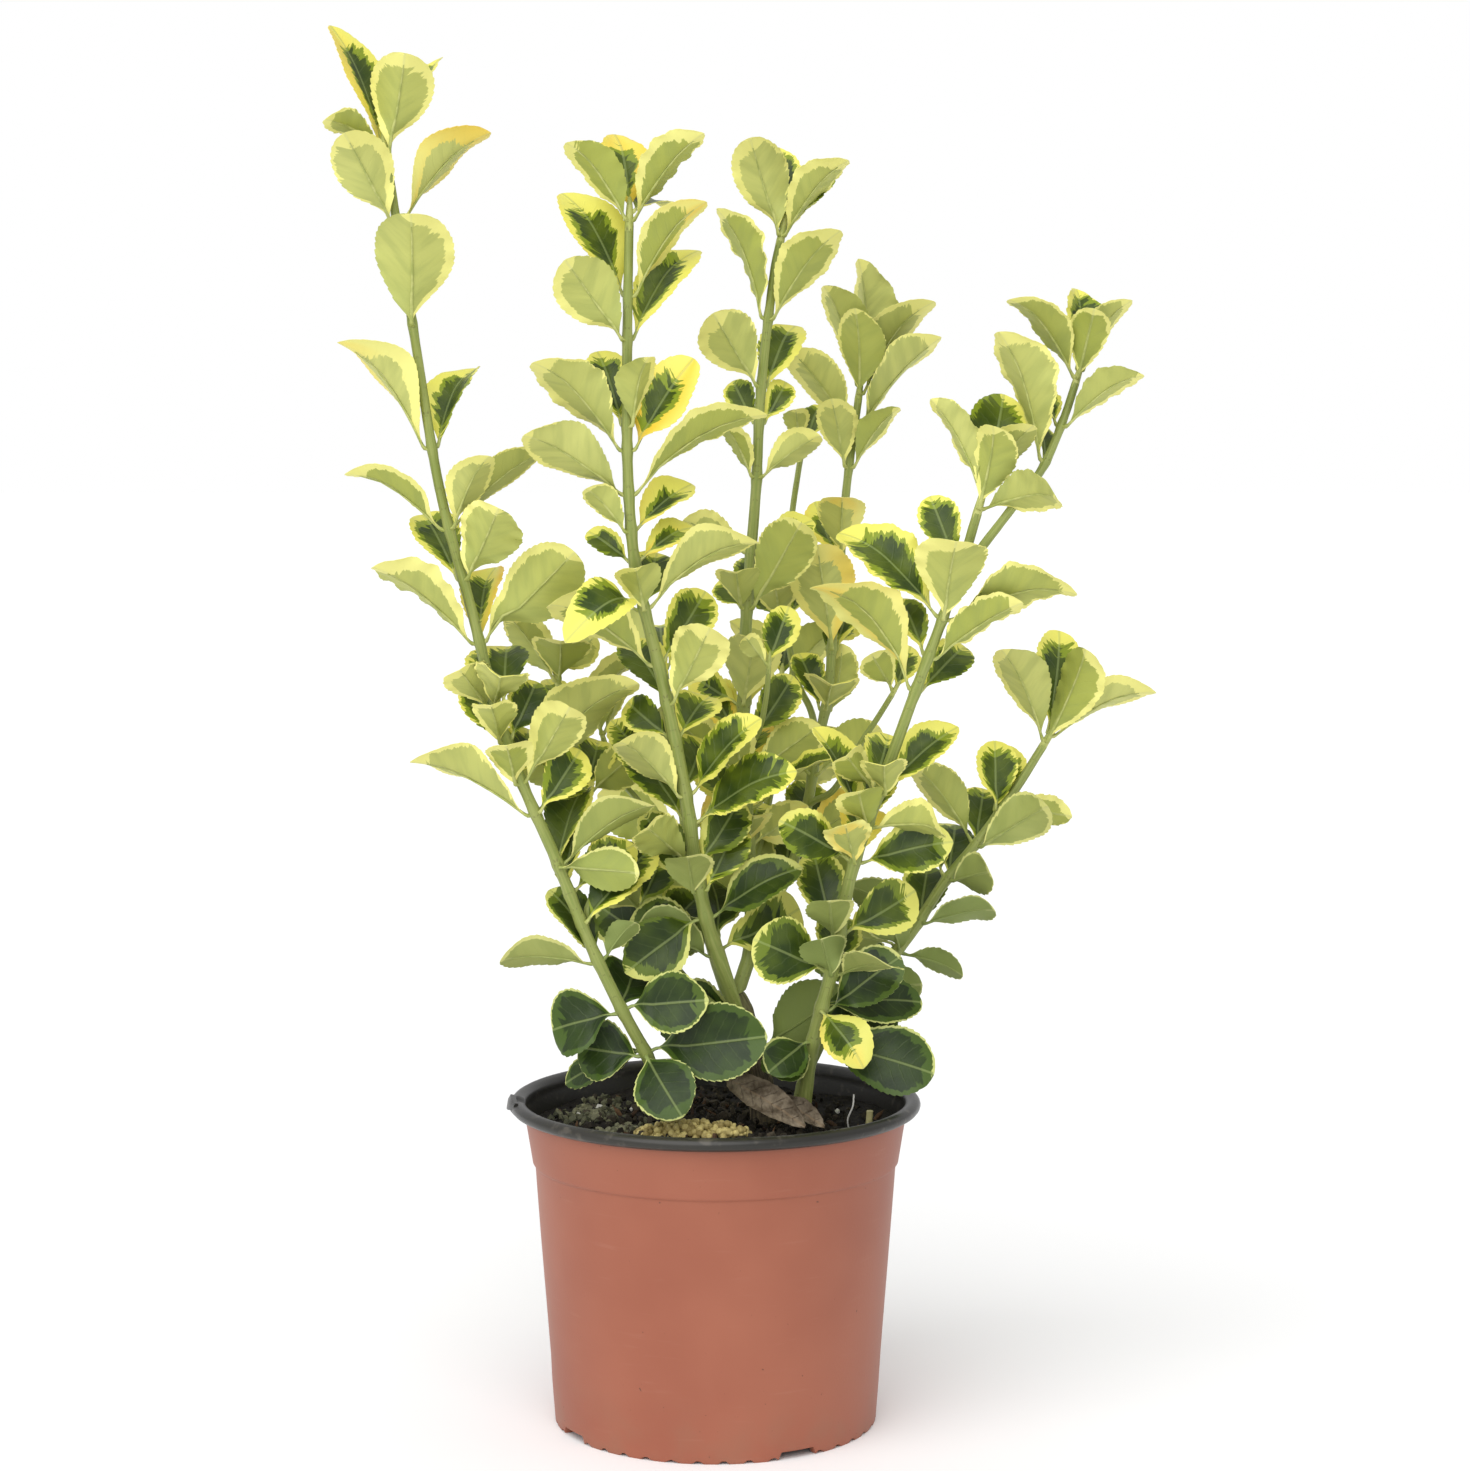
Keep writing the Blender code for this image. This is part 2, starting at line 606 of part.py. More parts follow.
def smooth_line(points, steps=8):
    """Points on a Catmull-Rom curve through the given ones."""
    ghost_start = points[0] * 2 - points[1]
    ghost_end = points[-1] * 2 - points[-2]
    padded = [ghost_start] + points + [ghost_end]
    line = []
    for i in range(len(points) - 1):
        a, b, c, d = padded[i:i + 4]
        for step in range(steps):
            t = step / steps
            line.append(
                0.5 * (2 * b + (c - a) * t + (2 * a - 5 * b + 4 * c - d) * t**2
                       + (3 * b - a - 3 * c + d) * t**3)
            )
    line.append(points[-1])
    return line


def table_point(point):
    """A point of the plant's table in the pot's frame, scaled about the compost's middle.

    Heights in the table are sighted level with the pot's axis, so below the sight line what
    stands further forward really stands higher, and what stands further back lower.
    """
    x, y, z = point
    z -= max(0.0, SIGHT_HEIGHT - z) * y / SIGHT_DISTANCE
    above = z - TABLE_COMPOST_LEVEL
    if above > 0:
        above *= PLANT_SCALE
    return Vector((x * PLANT_SCALE, y * PLANT_SCALE, COMPOST_LEVEL + above))


def whorl_length(path, height):
    """The length at which a stem carries the whorl that has this height in the table."""
    length = path.length_at(table_point((0, 0, height)).z)
    for _ in range(3):
        forward = path.place(length).point.y / PLANT_SCALE
        length = path.length_at(table_point((0, forward, height)).z)
    return length


def seat_of(stem, parent, path):
    """The lowest cross-section of a stem: flat on its parent's side or top, or in its socket."""
    if stem.seat == "root":
        return path.place(0.0)
    if stem.seat == "top":
        top = parent.place(parent.total)
        return frame_at(0.0, top.point + top.along * CLEARANCE, top.along)
    at = parent.place(parent.length_at(path.line[0].z))
    outward = path.line[-1 if len(path.line) < 12 else 12] - at.point
    outward = (outward - at.along * outward.dot(at.along)).normalized()
    point = at.point + outward * (parent.radius(at.length) + SEAT_GAP)
    across = path.place(4.0).across
    across = (across - outward * across.dot(outward)).normalized()
    return Place(0.0, point, outward, across, outward.cross(across))


def free_length(stem, parent, path):
    """The length of a stem's second cross-section: clear of its parent's bark or its socket."""
    if stem.seat == "root":
        return path.length_at(COMPOST_LEVEL + SOCKET_MARGIN)
    if stem.seat == "top":
        return path.base_radius
    at = parent.place(parent.length_at(path.line[0].z))
    needed = parent.radius(at.length) + path.base_radius + 2 * SEAT_GAP
    length = 0.0
    while length < path.total:
        offset = path.place(length).point - at.point
        if (offset - at.along * offset.dot(at.along)).length > needed:
            return length
        length += 0.5
    return length


def stem_stations(stem, path, first):
    """Lengths of the cross-sections: both edges of every whorl, and enough in between."""
    fixed = [first, path.total]
    for group in stem.whorls:
        for height, _ in group:
            middle = whorl_length(path, height)
            fixed += [middle - COLLAR_HEIGHT / 2, middle + COLLAR_HEIGHT / 2]
    fixed.sort()
    stations = []
    for start, end in zip(fixed, fixed[1:]):
        parts = max(1, round((end - start) / STEM_STATION_SPACING))
        stations += [start + (end - start) * i / parts for i in range(parts)]
    return stations + [path.total]


def make_stem(name, stem, path, parent):
    bm = bmesh.new()
    rings = [path.ring(bm, seat_of(stem, parent, path), path.radius(0.0))]
    for length in stem_stations(stem, path, free_length(stem, parent, path)):
        rings.append(path.ring(bm, path.place(length), path.radius(length)))
    for lower, upper in zip(rings, rings[1:]):
        bridge(bm, lower, upper)
    bm.faces.new(rings[0])
    bm.faces.new(rings[-1])
    bark = stem.base_radius > 4
    return add_object(name, bm, BARK if bark else STEM_GREEN, 0.8 if bark else 0.5)


# Leaves.


def blade_half_width(share):
    """Half the blade's width as a share of the full width: a wedge-shaped base that widens
    past the middle, and a blunt tip."""
    if share <= 0 or share >= 1:
        return 0.0
    if share < BLADE_WIDEST_AT:
        return 0.5 * math.sin(math.pi / 2 * share / BLADE_WIDEST_AT)
    past = (share - BLADE_WIDEST_AT) / (1 - BLADE_WIDEST_AT)
    return 0.5 * math.cos(math.pi / 2 * past**1.12) ** 0.65


class Blade:
    """The middle surface of one leaf, from its root on the collar to its tip."""

    def __init__(self, leaf, root, tip, up):
        self.root = root
        self.chord = tip - root
        self.length = self.chord.length
        self.axis = self.chord / self.length
        self.rise = leaf.bow * self.length
        self.normal = (up - self.axis * up.dot(self.axis)).normalized()
        side = self.axis.cross(self.normal)
        toward_front = 1.0 if side.dot(FRONT) >= 0 else -1.0
        self.width = leaf.width * LEAF_SCALE
        if leaf.turn is None:
            shown = self.width
            self.width = min(max(shown, LEAF_PROPORTION * self.length), shown * MOST_FORESHORTENED)
            self.turn = self.natural_roll(shown / self.width) * toward_front
        else:
            self.turn = math.radians(leaf.turn) * toward_front

    def natural_roll(self, shown_share):
        """The roll that shows this share of the width: the underside of a leaf that leans
        forward or sideways, the upper side of one that leans back."""
        facing = (FRONT - self.axis * FRONT.dot(self.axis)).normalized()
        from_front = math.acos(max(-1.0, min(1.0, self.normal.dot(facing))))
        wanted = math.acos(min(1.0, shown_share))
        if from_front < math.radians(LEANS_BACK):
            return max(0.0, from_front - wanted)
        return min(0.0, from_front - (math.pi - wanted))

    def upper_side(self, share):
        """The upper side's direction: the turn is taken up over the leaf's first third."""
        eased = min(1.0, share / 0.33)
        angle = self.turn * eased * eased * (3 - 2 * eased)
        return self.normal * math.cos(angle) + self.axis.cross(self.normal) * math.sin(angle)

    def section(self, share, margin):
        """Six corners across the leaf: three on the upper side, three on the lower."""
        normal = self.upper_side(share)
        side = self.axis.cross(normal)
        arch = normal * (self.rise * 4 * share * (1 - share))
        middle = self.root + self.chord * share + arch
        blade_share = (share - PETIOLE_SHARE) / (1 - PETIOLE_SHARE)
        half = max(PETIOLE_WIDTH / 2, self.width * blade_half_width(blade_share))
        if share > 0.99:
            half = PETIOLE_WIDTH * 0.45
        fold = math.radians(LEAF_FOLD) * min(1.0, max(0.0, blade_share * 4))
        edge_out = side * (half * math.cos(fold) + margin)
        edge_up = normal * (half * math.sin(fold))
        thick = LEAF_MIDRIB_THICKNESS / 2 + margin
        thin = LEAF_EDGE_THICKNESS / 2 + margin
        if blade_share <= 0:
            thin = thick
        return [
            middle + edge_out + edge_up + normal * thin,
            middle + normal * thick,
            middle - edge_out + edge_up + normal * thin,
            middle - edge_out + edge_up - normal * thin,
            middle - normal * thick,
            middle + edge_out + edge_up - normal * thin,
        ]

    def stations(self):
        if self.width < 14:
            return (PETIOLE_SHARE, 0.40, 0.74, 1.0)
        return (PETIOLE_SHARE, 0.34, 0.60, 0.86, 1.0)

    def shell(self, shares, margin):
        """A closed tube of sections, as vertices and faces for a clash test."""
        points = []
        for share in shares:
            points += self.section(share, margin)
        faces = []
        for i in range(len(shares) - 1):
            for j in range(6):
                k = (j + 1) % 6
                faces.append((i * 6 + j, i * 6 + k, i * 6 + 6 + k, i * 6 + 6 + j))
        faces.append(tuple(range(6)))
        faces.append(tuple(range(len(points) - 6, len(points))))
        return BVHTree.FromPolygons(points, faces)


def leaf_corners(place, leaves):
    """Which corner of the collar each leaf grows from: the nearest that leaves room."""
    taken = []
    for leaf in leaves:
        toward = Vector((leaf.x, leaf.y, leaf.z))
        angle = math.atan2(toward.dot(place.side), toward.dot(place.across))
        wish = angle / math.tau * STEM_SIDES
        order = sorted(range(STEM_SIDES), key=lambda k: abs((k - wish + 4) % 8 - 4))
        for k in order:
            if all(min((k - other) % 8, (other - k) % 8) >= 2 for other in taken):
                taken.append(k)
                break
    return taken


# Small moves tried in turn until a leaf is clear: swing round the stem, lift, and length.
MOVES = sorted(
    (
        (swing, lift, reach)
        for swing in (0, 6, -6, 12, -12, 18, -18, 25, -25, 33, -33, 42, -42)
        for lift in (0, 6, -6, 12, -12, 20, -20, 30, -30)
        for reach in (1.0, 0.92, 0.84, 0.74)
    ),
    key=lambda move: abs(move[0]) + abs(move[1]) * 1.3 + (1 - move[2]) * 260,
)


def moved(offset, place, swing, lift, reach):
    """A leaf tip's offset from the stem, turned a little."""
    turned = Matrix.Rotation(math.radians(swing), 3, place.along) @ offset
    level = place.along.cross(turned)
    if level.length > 0.001:
        turned = Matrix.Rotation(math.radians(-lift), 3, level.normalized()) @ turned
    return turned * reach


def settle(leaf, anchor, band, corner, radius, obstacles, own):
    """The leaf's blade, moved by the first of MOVES that keeps it clear of everything, with its
    shell and its stalk's. There are none of them for a leaf that has no room to grow."""
    root = band.point + spoke(band, corner) * radius
    offset = Vector((leaf.x, leaf.y, leaf.z)) * LEAF_SCALE
    shares = (PETIOLE_SHARE, 0.34, 0.60, 0.86, 1.0)
    for swing, lift, reach in MOVES:
        tip = anchor + moved(offset, band, swing, lift, reach)
        blade = Blade(leaf, root, tip, band.along)
        shell = blade.shell(shares, CLEARANCE)
        petiole = blade.shell((0.03, PETIOLE_SHARE), CLEARANCE)
        if any(shell.overlap(other) for other in obstacles.values()):
            continue
        if any(petiole.overlap(tree) for key, tree in obstacles.items() if key not in own):
            continue
        return blade, shell, petiole
    return None


def grow(bm, lower, upper, corner, blade):
    """One leaf on a collar, lofted from two of its side faces."""
    left, right = (corner - 1) % STEM_SIDES, (corner + 1) % STEM_SIDES
    loop = [upper[left], upper[corner], upper[right], lower[right], lower[corner], lower[left]]
    for share in blade.stations():
        following = [bm.verts.new(point) for point in blade.section(share, 0.0)]
        bridge(bm, loop, following)
        loop = following
    bm.faces.new(loop)


def leafy_band(bm, lower, upper, growths):
    """The side of a collar between two loops, with leaves growing from it."""
    covered = set()
    for corner, blade in growths:
        covered |= {(corner - 1) % STEM_SIDES, corner}
        grow(bm, lower, upper, corner, blade)
    for i in range(STEM_SIDES):
        if i not in covered:
            j = (i + 1) % STEM_SIDES
            bm.faces.new((lower[i], lower[j], upper[j], upper[i]))


def full_whorl(height, leaves):
    """A whorl's leaves as they grow at this height of the table."""
    if not THICKET_LOW < height < THICKET_HIGH:
        return leaves
    if len(leaves) == 2:
        leaves = leaves + [Leaf(4, 20, 18, 17), Leaf(-4, -18, 15, 17)]
    grown = []
    for leaf in leaves:
        x, y, z, width = (THICKET_GROWTH * size for size in leaf[:4])
        grown.append(leaf._replace(x=x, y=y, z=z, width=width))
    return grown


class Whorls:
    """A collar round a stem with one or more whorls of leaves."""

    def __init__(self, name, path, group):
        self.name = name
        self.path = path
        self.bands = []
        for height, leaves in group:
            middle = path.place(whorl_length(path, height))
            edges = [path.place(middle.length + COLLAR_HEIGHT * side) for side in (-0.5, 0.5)]
            leaves = full_whorl(height, leaves)
            self.bands.append((middle, middle.point, edges, leaves, leaf_corners(middle, leaves)))

    def radius(self, place):
        return self.path.radius(place.length) + CLEARANCE + COLLAR_WALL

    def hull(self):
        """The collar without its leaves, for clash tests."""
        bm = bmesh.new()
        first, last = self.bands[0][2][0], self.bands[-1][2][1]
        rings = [self.path.ring(bm, place, self.radius(place)) for place in (first, last)]
        bridge(bm, *rings)
        tree = BVHTree.FromBMesh(bm)
        bm.free()
        return tree

    def make(self, blades):
        bm = bmesh.new()
        outer, inner, leafy = [], [], []
        for (_, _, edges, _, _), grown in zip(self.bands, blades):
            for place in edges:
                outer.append(self.path.ring(bm, place, self.radius(place)))
                inner.append(self.path.ring(bm, place, self.path.radius(place.length) + CLEARANCE))
            leafy += [grown, []]
        for i in range(len(outer) - 1):
            leafy_band(bm, outer[i], outer[i + 1], leafy[i])
            bridge(bm, inner[i + 1], inner[i])
        bridge(bm, inner[0], outer[0])
        bridge(bm, outer[-1], inner[-1])
        add_object(self.name, bm, LEAF_GREEN, 0.4)


class Tip:
    """The growing tip that stands on a stem's end, with its leaves in pairs up its side."""

    def __init__(self, name, path, leaves):
        self.name = name
        self.path = path
        end = path.place(path.total)
        pairs = [leaves[i:i + 2] for i in range(0, len(leaves), 2)]
        self.levels = [CLEARANCE]
        for _ in pairs:
            self.levels += [self.levels[-1] + 0.7, self.levels[-1] + 0.7 + COLLAR_HEIGHT * 0.8]
        self.places = [end._replace(point=end.point + end.along * level) for level in self.levels]
        self.bud = end.point + end.along * (self.levels[-1] + 5.0)
        self.bands = []
        for i, pair in enumerate(pairs):
            edges = self.places[1 + i * 2:3 + i * 2]
            middle = end._replace(point=(edges[0].point + edges[1].point) / 2)
            self.bands.append((middle, end.point, edges, pair, leaf_corners(middle, pair)))

    def radius(self, place):
        share = (place.point - self.places[0].point).length / (self.levels[-1] + 1)
        return (self.path.tip_radius + 0.5) * (1.0 - 0.35 * share)

    def hull(self):
        bm = bmesh.new()
        ends = (self.places[0], self.places[-1])
        rings = [self.path.ring(bm, place, self.radius(place)) for place in ends]
        bridge(bm, *rings)
        tree = BVHTree.FromBMesh(bm)
        bm.free()
        return tree

    def make(self, blades):
        bm = bmesh.new()
        rings = [self.path.ring(bm, place, self.radius(place)) for place in self.places]
        bm.faces.new(rings[0])
        leafy = [[]]
        for grown in blades:
            leafy += [grown, []]
        for i in range(len(rings) - 1):
            leafy_band(bm, rings[i], rings[i + 1], leafy[i])
        bud = bm.verts.new(self.bud)
        for i in range(STEM_SIDES):
            bm.faces.new((rings[-1][i], rings[-1][(i + 1) % STEM_SIDES], bud))
        add_object(self.name, bm, LEAF_GREEN, 0.4)


def make_plant():
    """Stems first, then every leaf in turn, each clear of what is already there."""
    paths = {}
    obstacles = {}
    groups = []
    for name, stem in PLANT.items():
        points = [table_point(point) for point in stem.points]
        path = StemPath(points, stem.base_radius, stem.tip_radius)
        paths[name] = path
        made = make_stem(name, stem, path, paths.get(stem.parent))
        vertices = [vert.co / MM for vert in made.data.vertices]
        obstacles[name] = BVHTree.FromPolygons(vertices, [face.vertices for face in made.data.polygons])
        label = name.replace("_stem", "")
        for i, group in enumerate(stem.whorls):
            groups.append((name, Whorls(f"{label}_leaves_{i + 1}", path, group)))
        if stem.tip:
            groups.append((name, Tip(f"{label}_tip_leaves", path, stem.tip)))
    for _, group in groups:
        obstacles[group.name] = group.hull()
    for name in ("pot", "compost"):
        made = bpy.data.objects[name]
        vertices = [vert.co / MM for vert in made.data.vertices]
        obstacles[name] = BVHTree.FromPolygons(vertices, [face.vertices for face in made.data.polygons])
    for stem_name, group in groups:
        own = {stem_name, group.name}
        blades = []
        for middle, anchor, edges, leaves, corners in group.bands:
            grown = []
            for leaf, corner in zip(leaves, corners):
                radius = group.radius(edges[0])
                settled = settle(leaf, anchor, middle, corner, radius, obstacles, own)
                if settled is None:
                    continue
                blade, shell, petiole = settled
                key = f"{group.name}_{len(obstacles)}"
                obstacles[key] = shell
                obstacles[key + "_petiole"] = petiole
                own.add(key + "_petiole")
                grown.append((corner, blade))
            blades.append(grown)
        group.make(blades)
    return paths


def make_withered_leaf(name, root, tip, width, turn, bow):
    lift = Vector((0, 0, COMPOST_LEVEL - TABLE_COMPOST_LEVEL))
    leaf = Leaf(0, 0, 0, width / LEAF_SCALE, turn, bow)
    blade = Blade(leaf, Vector(root) + lift, Vector(tip) + lift, Vector((0, 0, 1)))
    bm = bmesh.new()
    loops = []
    for share in (0.02,) + blade.stations():
        loops.append([bm.verts.new(point) for point in blade.section(share, 0.0)])
    for first, second in zip(loops, loops[1:]):
        bridge(bm, first, second)
    bm.faces.new(loops[0])
    bm.faces.new(loops[-1])
    add_object(name, bm, WITHERED_BROWN, 0.85)


def root_paths():
    """The paths of the stems that stand in the compost, for their sockets."""
    paths = {}
    for name, stem in PLANT.items():
        if stem.seat == "root":
            points = [table_point(point) for point in stem.points]
            paths[name] = StemPath(points, stem.base_radius, stem.tip_radius)
    return paths


def main():
    clear_scene()
    make_pot()
    make_compost(root_paths())
    make_plant()
    for name, values in WITHERED_LEAVES.items():
        make_withered_leaf(name, *values)
    for name, values in GRANULE_PATCHES.items():
        make_granules(name, *values)


main()
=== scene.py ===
"""Looks of the potted euonymus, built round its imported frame.

Sizes in the tables are millimetres, the same as in the frame's own design. Every leaf lies where
the frame's solid leaf lies: the same stems, whorls and clash rules place both. Leaves that the
frame leaves out are added last, in the gaps that are left.
"""

import itertools
import json
import math
import random
from collections import namedtuple

import bmesh
import bpy
from mathutils import Euler, Matrix, Vector, noise
from mathutils.bvhtree import BVHTree

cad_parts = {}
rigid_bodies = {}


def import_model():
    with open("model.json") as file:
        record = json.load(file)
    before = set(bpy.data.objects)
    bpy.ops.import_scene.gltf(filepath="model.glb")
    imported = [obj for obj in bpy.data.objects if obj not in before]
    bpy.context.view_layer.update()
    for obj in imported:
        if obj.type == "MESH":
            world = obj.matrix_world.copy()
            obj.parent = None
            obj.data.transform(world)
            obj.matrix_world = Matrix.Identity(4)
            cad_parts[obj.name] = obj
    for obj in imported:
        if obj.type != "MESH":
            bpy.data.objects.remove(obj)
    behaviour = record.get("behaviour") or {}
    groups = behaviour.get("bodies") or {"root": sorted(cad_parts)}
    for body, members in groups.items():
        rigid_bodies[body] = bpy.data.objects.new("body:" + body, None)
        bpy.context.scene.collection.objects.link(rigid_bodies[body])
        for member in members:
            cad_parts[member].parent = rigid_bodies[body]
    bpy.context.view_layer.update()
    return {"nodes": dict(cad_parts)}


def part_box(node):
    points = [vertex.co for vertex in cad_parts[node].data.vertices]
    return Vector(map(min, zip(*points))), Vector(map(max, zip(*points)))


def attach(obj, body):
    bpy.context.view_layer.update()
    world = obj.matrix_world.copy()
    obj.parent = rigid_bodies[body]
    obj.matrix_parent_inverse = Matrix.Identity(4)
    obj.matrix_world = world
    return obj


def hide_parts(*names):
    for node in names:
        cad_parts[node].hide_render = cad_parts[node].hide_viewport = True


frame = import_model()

MM = 0.001
LIT_SHARE = 0.84


# Shading.


def tone(red, green, blue, light=LIT_SHARE):
    """The shader's linear colour that shows as this display colour, 0 to 255, in the room's light."""
    linear = []
    for value in (red, green, blue):
        value /= 255
        value = value / 12.92 if value <= 0.04045 else ((value + 0.055) / 1.055) ** 2.4
        linear.append(value * light)
    return (*linear, 1.0)


class Shading:
    """A Principled material and the nodes that feed it."""

    def __init__(self, name, roughness, specular=0.5):
        self.material = bpy.data.materials.new(name)
        self.material.use_nodes = True
        self.tree = self.material.node_tree
        self.shader = self.tree.nodes["Principled BSDF"]
        self.shader.inputs["Roughness"].default_value = roughness
        self.shader.inputs["Specular IOR Level"].default_value = specular
        self.shader.inputs["Metallic"].default_value = 0.0

    def feed(self, socket, value):
        if isinstance(value, bpy.types.NodeSocket):
            self.tree.links.new(value, socket)
        else:
            socket.default_value = value

    def attribute(self, name):
        node = self.tree.nodes.new("ShaderNodeAttribute")
        node.attribute_name = name
        return node.outputs["Vector"]

    def parts(self, vector):
        node = self.tree.nodes.new("ShaderNodeSeparateXYZ")
        self.feed(node.inputs[0], vector)
        return node.outputs[0], node.outputs[1], node.outputs[2]

    def joined(self, x, y, z):
        node = self.tree.nodes.new("ShaderNodeCombineXYZ")
        for socket, value in zip(node.inputs, (x, y, z)):
            self.feed(socket, value)
        return node.outputs[0]

    def place(self):
        """Where the surface is, in metres in the object's own frame."""
        return self.tree.nodes.new("ShaderNodeTexCoord").outputs["Object"]

    def math(self, operation, first, second=0.0, third=0.0):
        node = self.tree.nodes.new("ShaderNodeMath")
        node.operation = operation
        for socket, value in zip(node.inputs, (first, second, third)):
            self.feed(socket, value)
        return node.outputs[0]

    def plus(self, first, second):
        return self.math("ADD", first, second)

    def times(self, first, second):
        return self.math("MULTIPLY", first, second)

    def scaled(self, value, factor, offset=0.0):
        return self.math("MULTIPLY_ADD", value, factor, offset)

    def ramp(self, value, low, high, out_low=0.0, out_high=1.0):
        """A smooth step of value between low and high."""
        node = self.tree.nodes.new("ShaderNodeMapRange")
        node.interpolation_type = "SMOOTHSTEP"
        self.feed(node.inputs["Value"], value)
        node.inputs["From Min"].default_value = low
        node.inputs["From Max"].default_value = high
        node.inputs["To Min"].default_value = out_low
        node.inputs["To Max"].default_value = out_high
        return node.outputs["Result"]

    def noise(self, vector, scale, detail=2.0, roughness=0.5):
        node = self.tree.nodes.new("ShaderNodeTexNoise")
        self.feed(node.inputs["Vector"], vector)
        node.inputs["Scale"].default_value = scale
        node.inputs["Detail"].default_value = detail
        node.inputs["Roughness"].default_value = roughness
        return node.outputs["Fac"]

    def streaks(self, along, across, seed, scale=1.0, detail=2.0, roughness=0.5):
        """Noise drawn out on a surface: along and across are a coordinate and its factor each."""
        place = self.joined(self.scaled(*along), self.scaled(*across), seed)
        return self.noise(place, scale, detail, roughness)

    def mix(self, factor, first, second):
        node = self.tree.nodes.new("ShaderNodeMix")
        node.data_type = "RGBA"
        self.feed(node.inputs["Factor"], factor)
        self.feed(node.inputs[6], first)
        self.feed(node.inputs[7], second)
        return node.outputs[2]

    def blend(self, value, low, high, first, second, most=1.0):
        """The first colour up to value low, and the second from value high."""
        return self.mix(self.ramp(value, low, high, 0.0, most), first, second)

    def bump(self, height, strength, distance):
        node = self.tree.nodes.new("ShaderNodeBump")
        node.inputs["Strength"].default_value = strength
        node.inputs["Distance"].default_value = distance
        self.feed(node.inputs["Height"], height)
        self.feed(self.shader.inputs["Normal"], node.outputs[0])

    def finish(self, colour, roughness=None):
        self.feed(self.shader.inputs["Base Color"], colour)
        if roughness is not None:
            self.feed(self.shader.inputs["Roughness"], roughness)
        return self.material


LeafPlace = namedtuple("LeafPlace", "along across number inward side reach age yellow lean")


def leaf_coordinates(shading):
    """What every leaf shader reads.

    leaf_co is the place along the side veins and across the leaf in millimetres, and the leaf's
    own number. leaf_map is how far in from the margin, across and along the leaf. leaf_kind is
    its age, how yellow it is and which side is the yellower.
    """
    values = []
    for name in ("leaf_co", "leaf_map", "leaf_kind"):
        values += shading.parts(shading.attribute(name))
    return LeafPlace(*values)


EDGE_SOFTNESS = 0.012


def green_share(shading, at, width, raggedness):
    """How far inside a leaf's yellow margin a point is, and 0 in the margin to 1 in the green.

    Width is the widest margin's share of the half blade. Old leaves have narrow, even margins.
    """
    young = shading.math("SUBTRACT", 1.0, at.age)
    margin = shading.scaled(shading.times(at.yellow, shading.scaled(young, 0.90, 0.10)), width, 0.014)
    tip = shading.times(shading.math("POWER", at.reach, 3.0), shading.scaled(young, 0.16))
    margin = shading.plus(margin, shading.plus(tip, shading.times(at.side, at.lean)))
    strokes = shading.streaks((at.along, 0.42), (at.across, 0.05), at.number, 1.0, 3.0, 0.66)
    flecks = shading.streaks((at.along, 0.12), (at.across, 0.05), at.number, 1.0, 1.0)
    uneven = shading.scaled(young, 0.85, 0.15)
    strokes = shading.times(shading.scaled(strokes, 1.0, -0.5), shading.scaled(uneven, raggedness))
    flecks = shading.times(shading.scaled(flecks, 0.28 * raggedness, -0.14 * raggedness), uneven)
    edge = shading.math("SUBTRACT", at.inward, margin)
    edge = shading.plus(shading.plus(edge, strokes), flecks)
    return edge, shading.ramp(edge, -EDGE_SOFTNESS, EDGE_SOFTNESS)


def veins(shading, at):
    """The midrib's line and the side veins' fainter ones."""
    midrib = shading.ramp(shading.math("ABSOLUTE", at.across), 0.25, 0.75, 1.0, 0.0)
    wobble = shading.noise(shading.joined(at.across, shading.scaled(at.along, 0.2), at.number), 0.5, 1.0)
    rows = shading.math("PINGPONG", shading.plus(at.along, shading.scaled(wobble, 2.0)), 2.7)
    side_veins = shading.ramp(rows, 0.12, 0.5, 1.0, 0.0)
    return midrib, shading.times(side_veins, shading.ramp(at.inward, 0.05, 0.5))


def leaf_margin(shading, at, yellow, orange, old):
    """The margin's colour: warmer on the yellowest leaves, and paler on old ones."""
    warm = shading.noise(shading.joined(at.number, shading.scaled(at.reach, 0.8), at.side), 0.7, 1.0)
    warm = shading.plus(shading.scaled(warm, 0.5), shading.scaled(at.yellow, 0.5))
    return shading.mix(at.age, shading.blend(warm, 0.66, 0.88, yellow, orange), old)


def leaf_upper_material():
    shading = Shading("leaf_upper_side", 0.38, 0.28)
    at = leaf_coordinates(shading)
    edge, green = green_share(shading, at, 0.36, 0.8)
    blotches = shading.streaks((at.along, 0.3), (at.across, 0.1), at.number, 0.8)
    inner = shading.plus(shading.math("SUBTRACT", edge, 0.17), shading.scaled(blotches, 0.42, -0.21))
    yellow, orange = tone(241, 236, 110, 0.92), tone(250, 210, 66, 0.92)
    margin = leaf_margin(shading, at, yellow, orange, tone(212, 218, 132))
    middle = shading.mix(at.age, tone(142, 160, 42), tone(74, 98, 34))
    deep = shading.mix(at.age, tone(54, 74, 20), tone(34, 52, 17))
    tint = shading.noise(shading.place(), 90.0)
    deep = shading.blend(tint, 0.3, 0.75, deep, shading.mix(0.35, deep, middle))
    colour = shading.mix(green, margin, middle)
    colour = shading.blend(inner, -0.02, 0.02, colour, deep)
    midrib, side_veins = veins(shading, at)
    colour = shading.mix(shading.scaled(side_veins, 0.05), colour, tone(168, 184, 120))
    colour = shading.mix(shading.scaled(midrib, 0.36), colour, tone(172, 188, 116))
    grain = shading.noise(shading.place(), 1400.0)
    relief = shading.plus(shading.scaled(midrib, -1.0), shading.scaled(side_veins, -0.30))
    shading.bump(shading.plus(relief, shading.scaled(grain, 0.25)), 0.55, 0.00035)
    return shading.finish(colour, shading.ramp(grain, 0.3, 0.8, 0.30, 0.46))


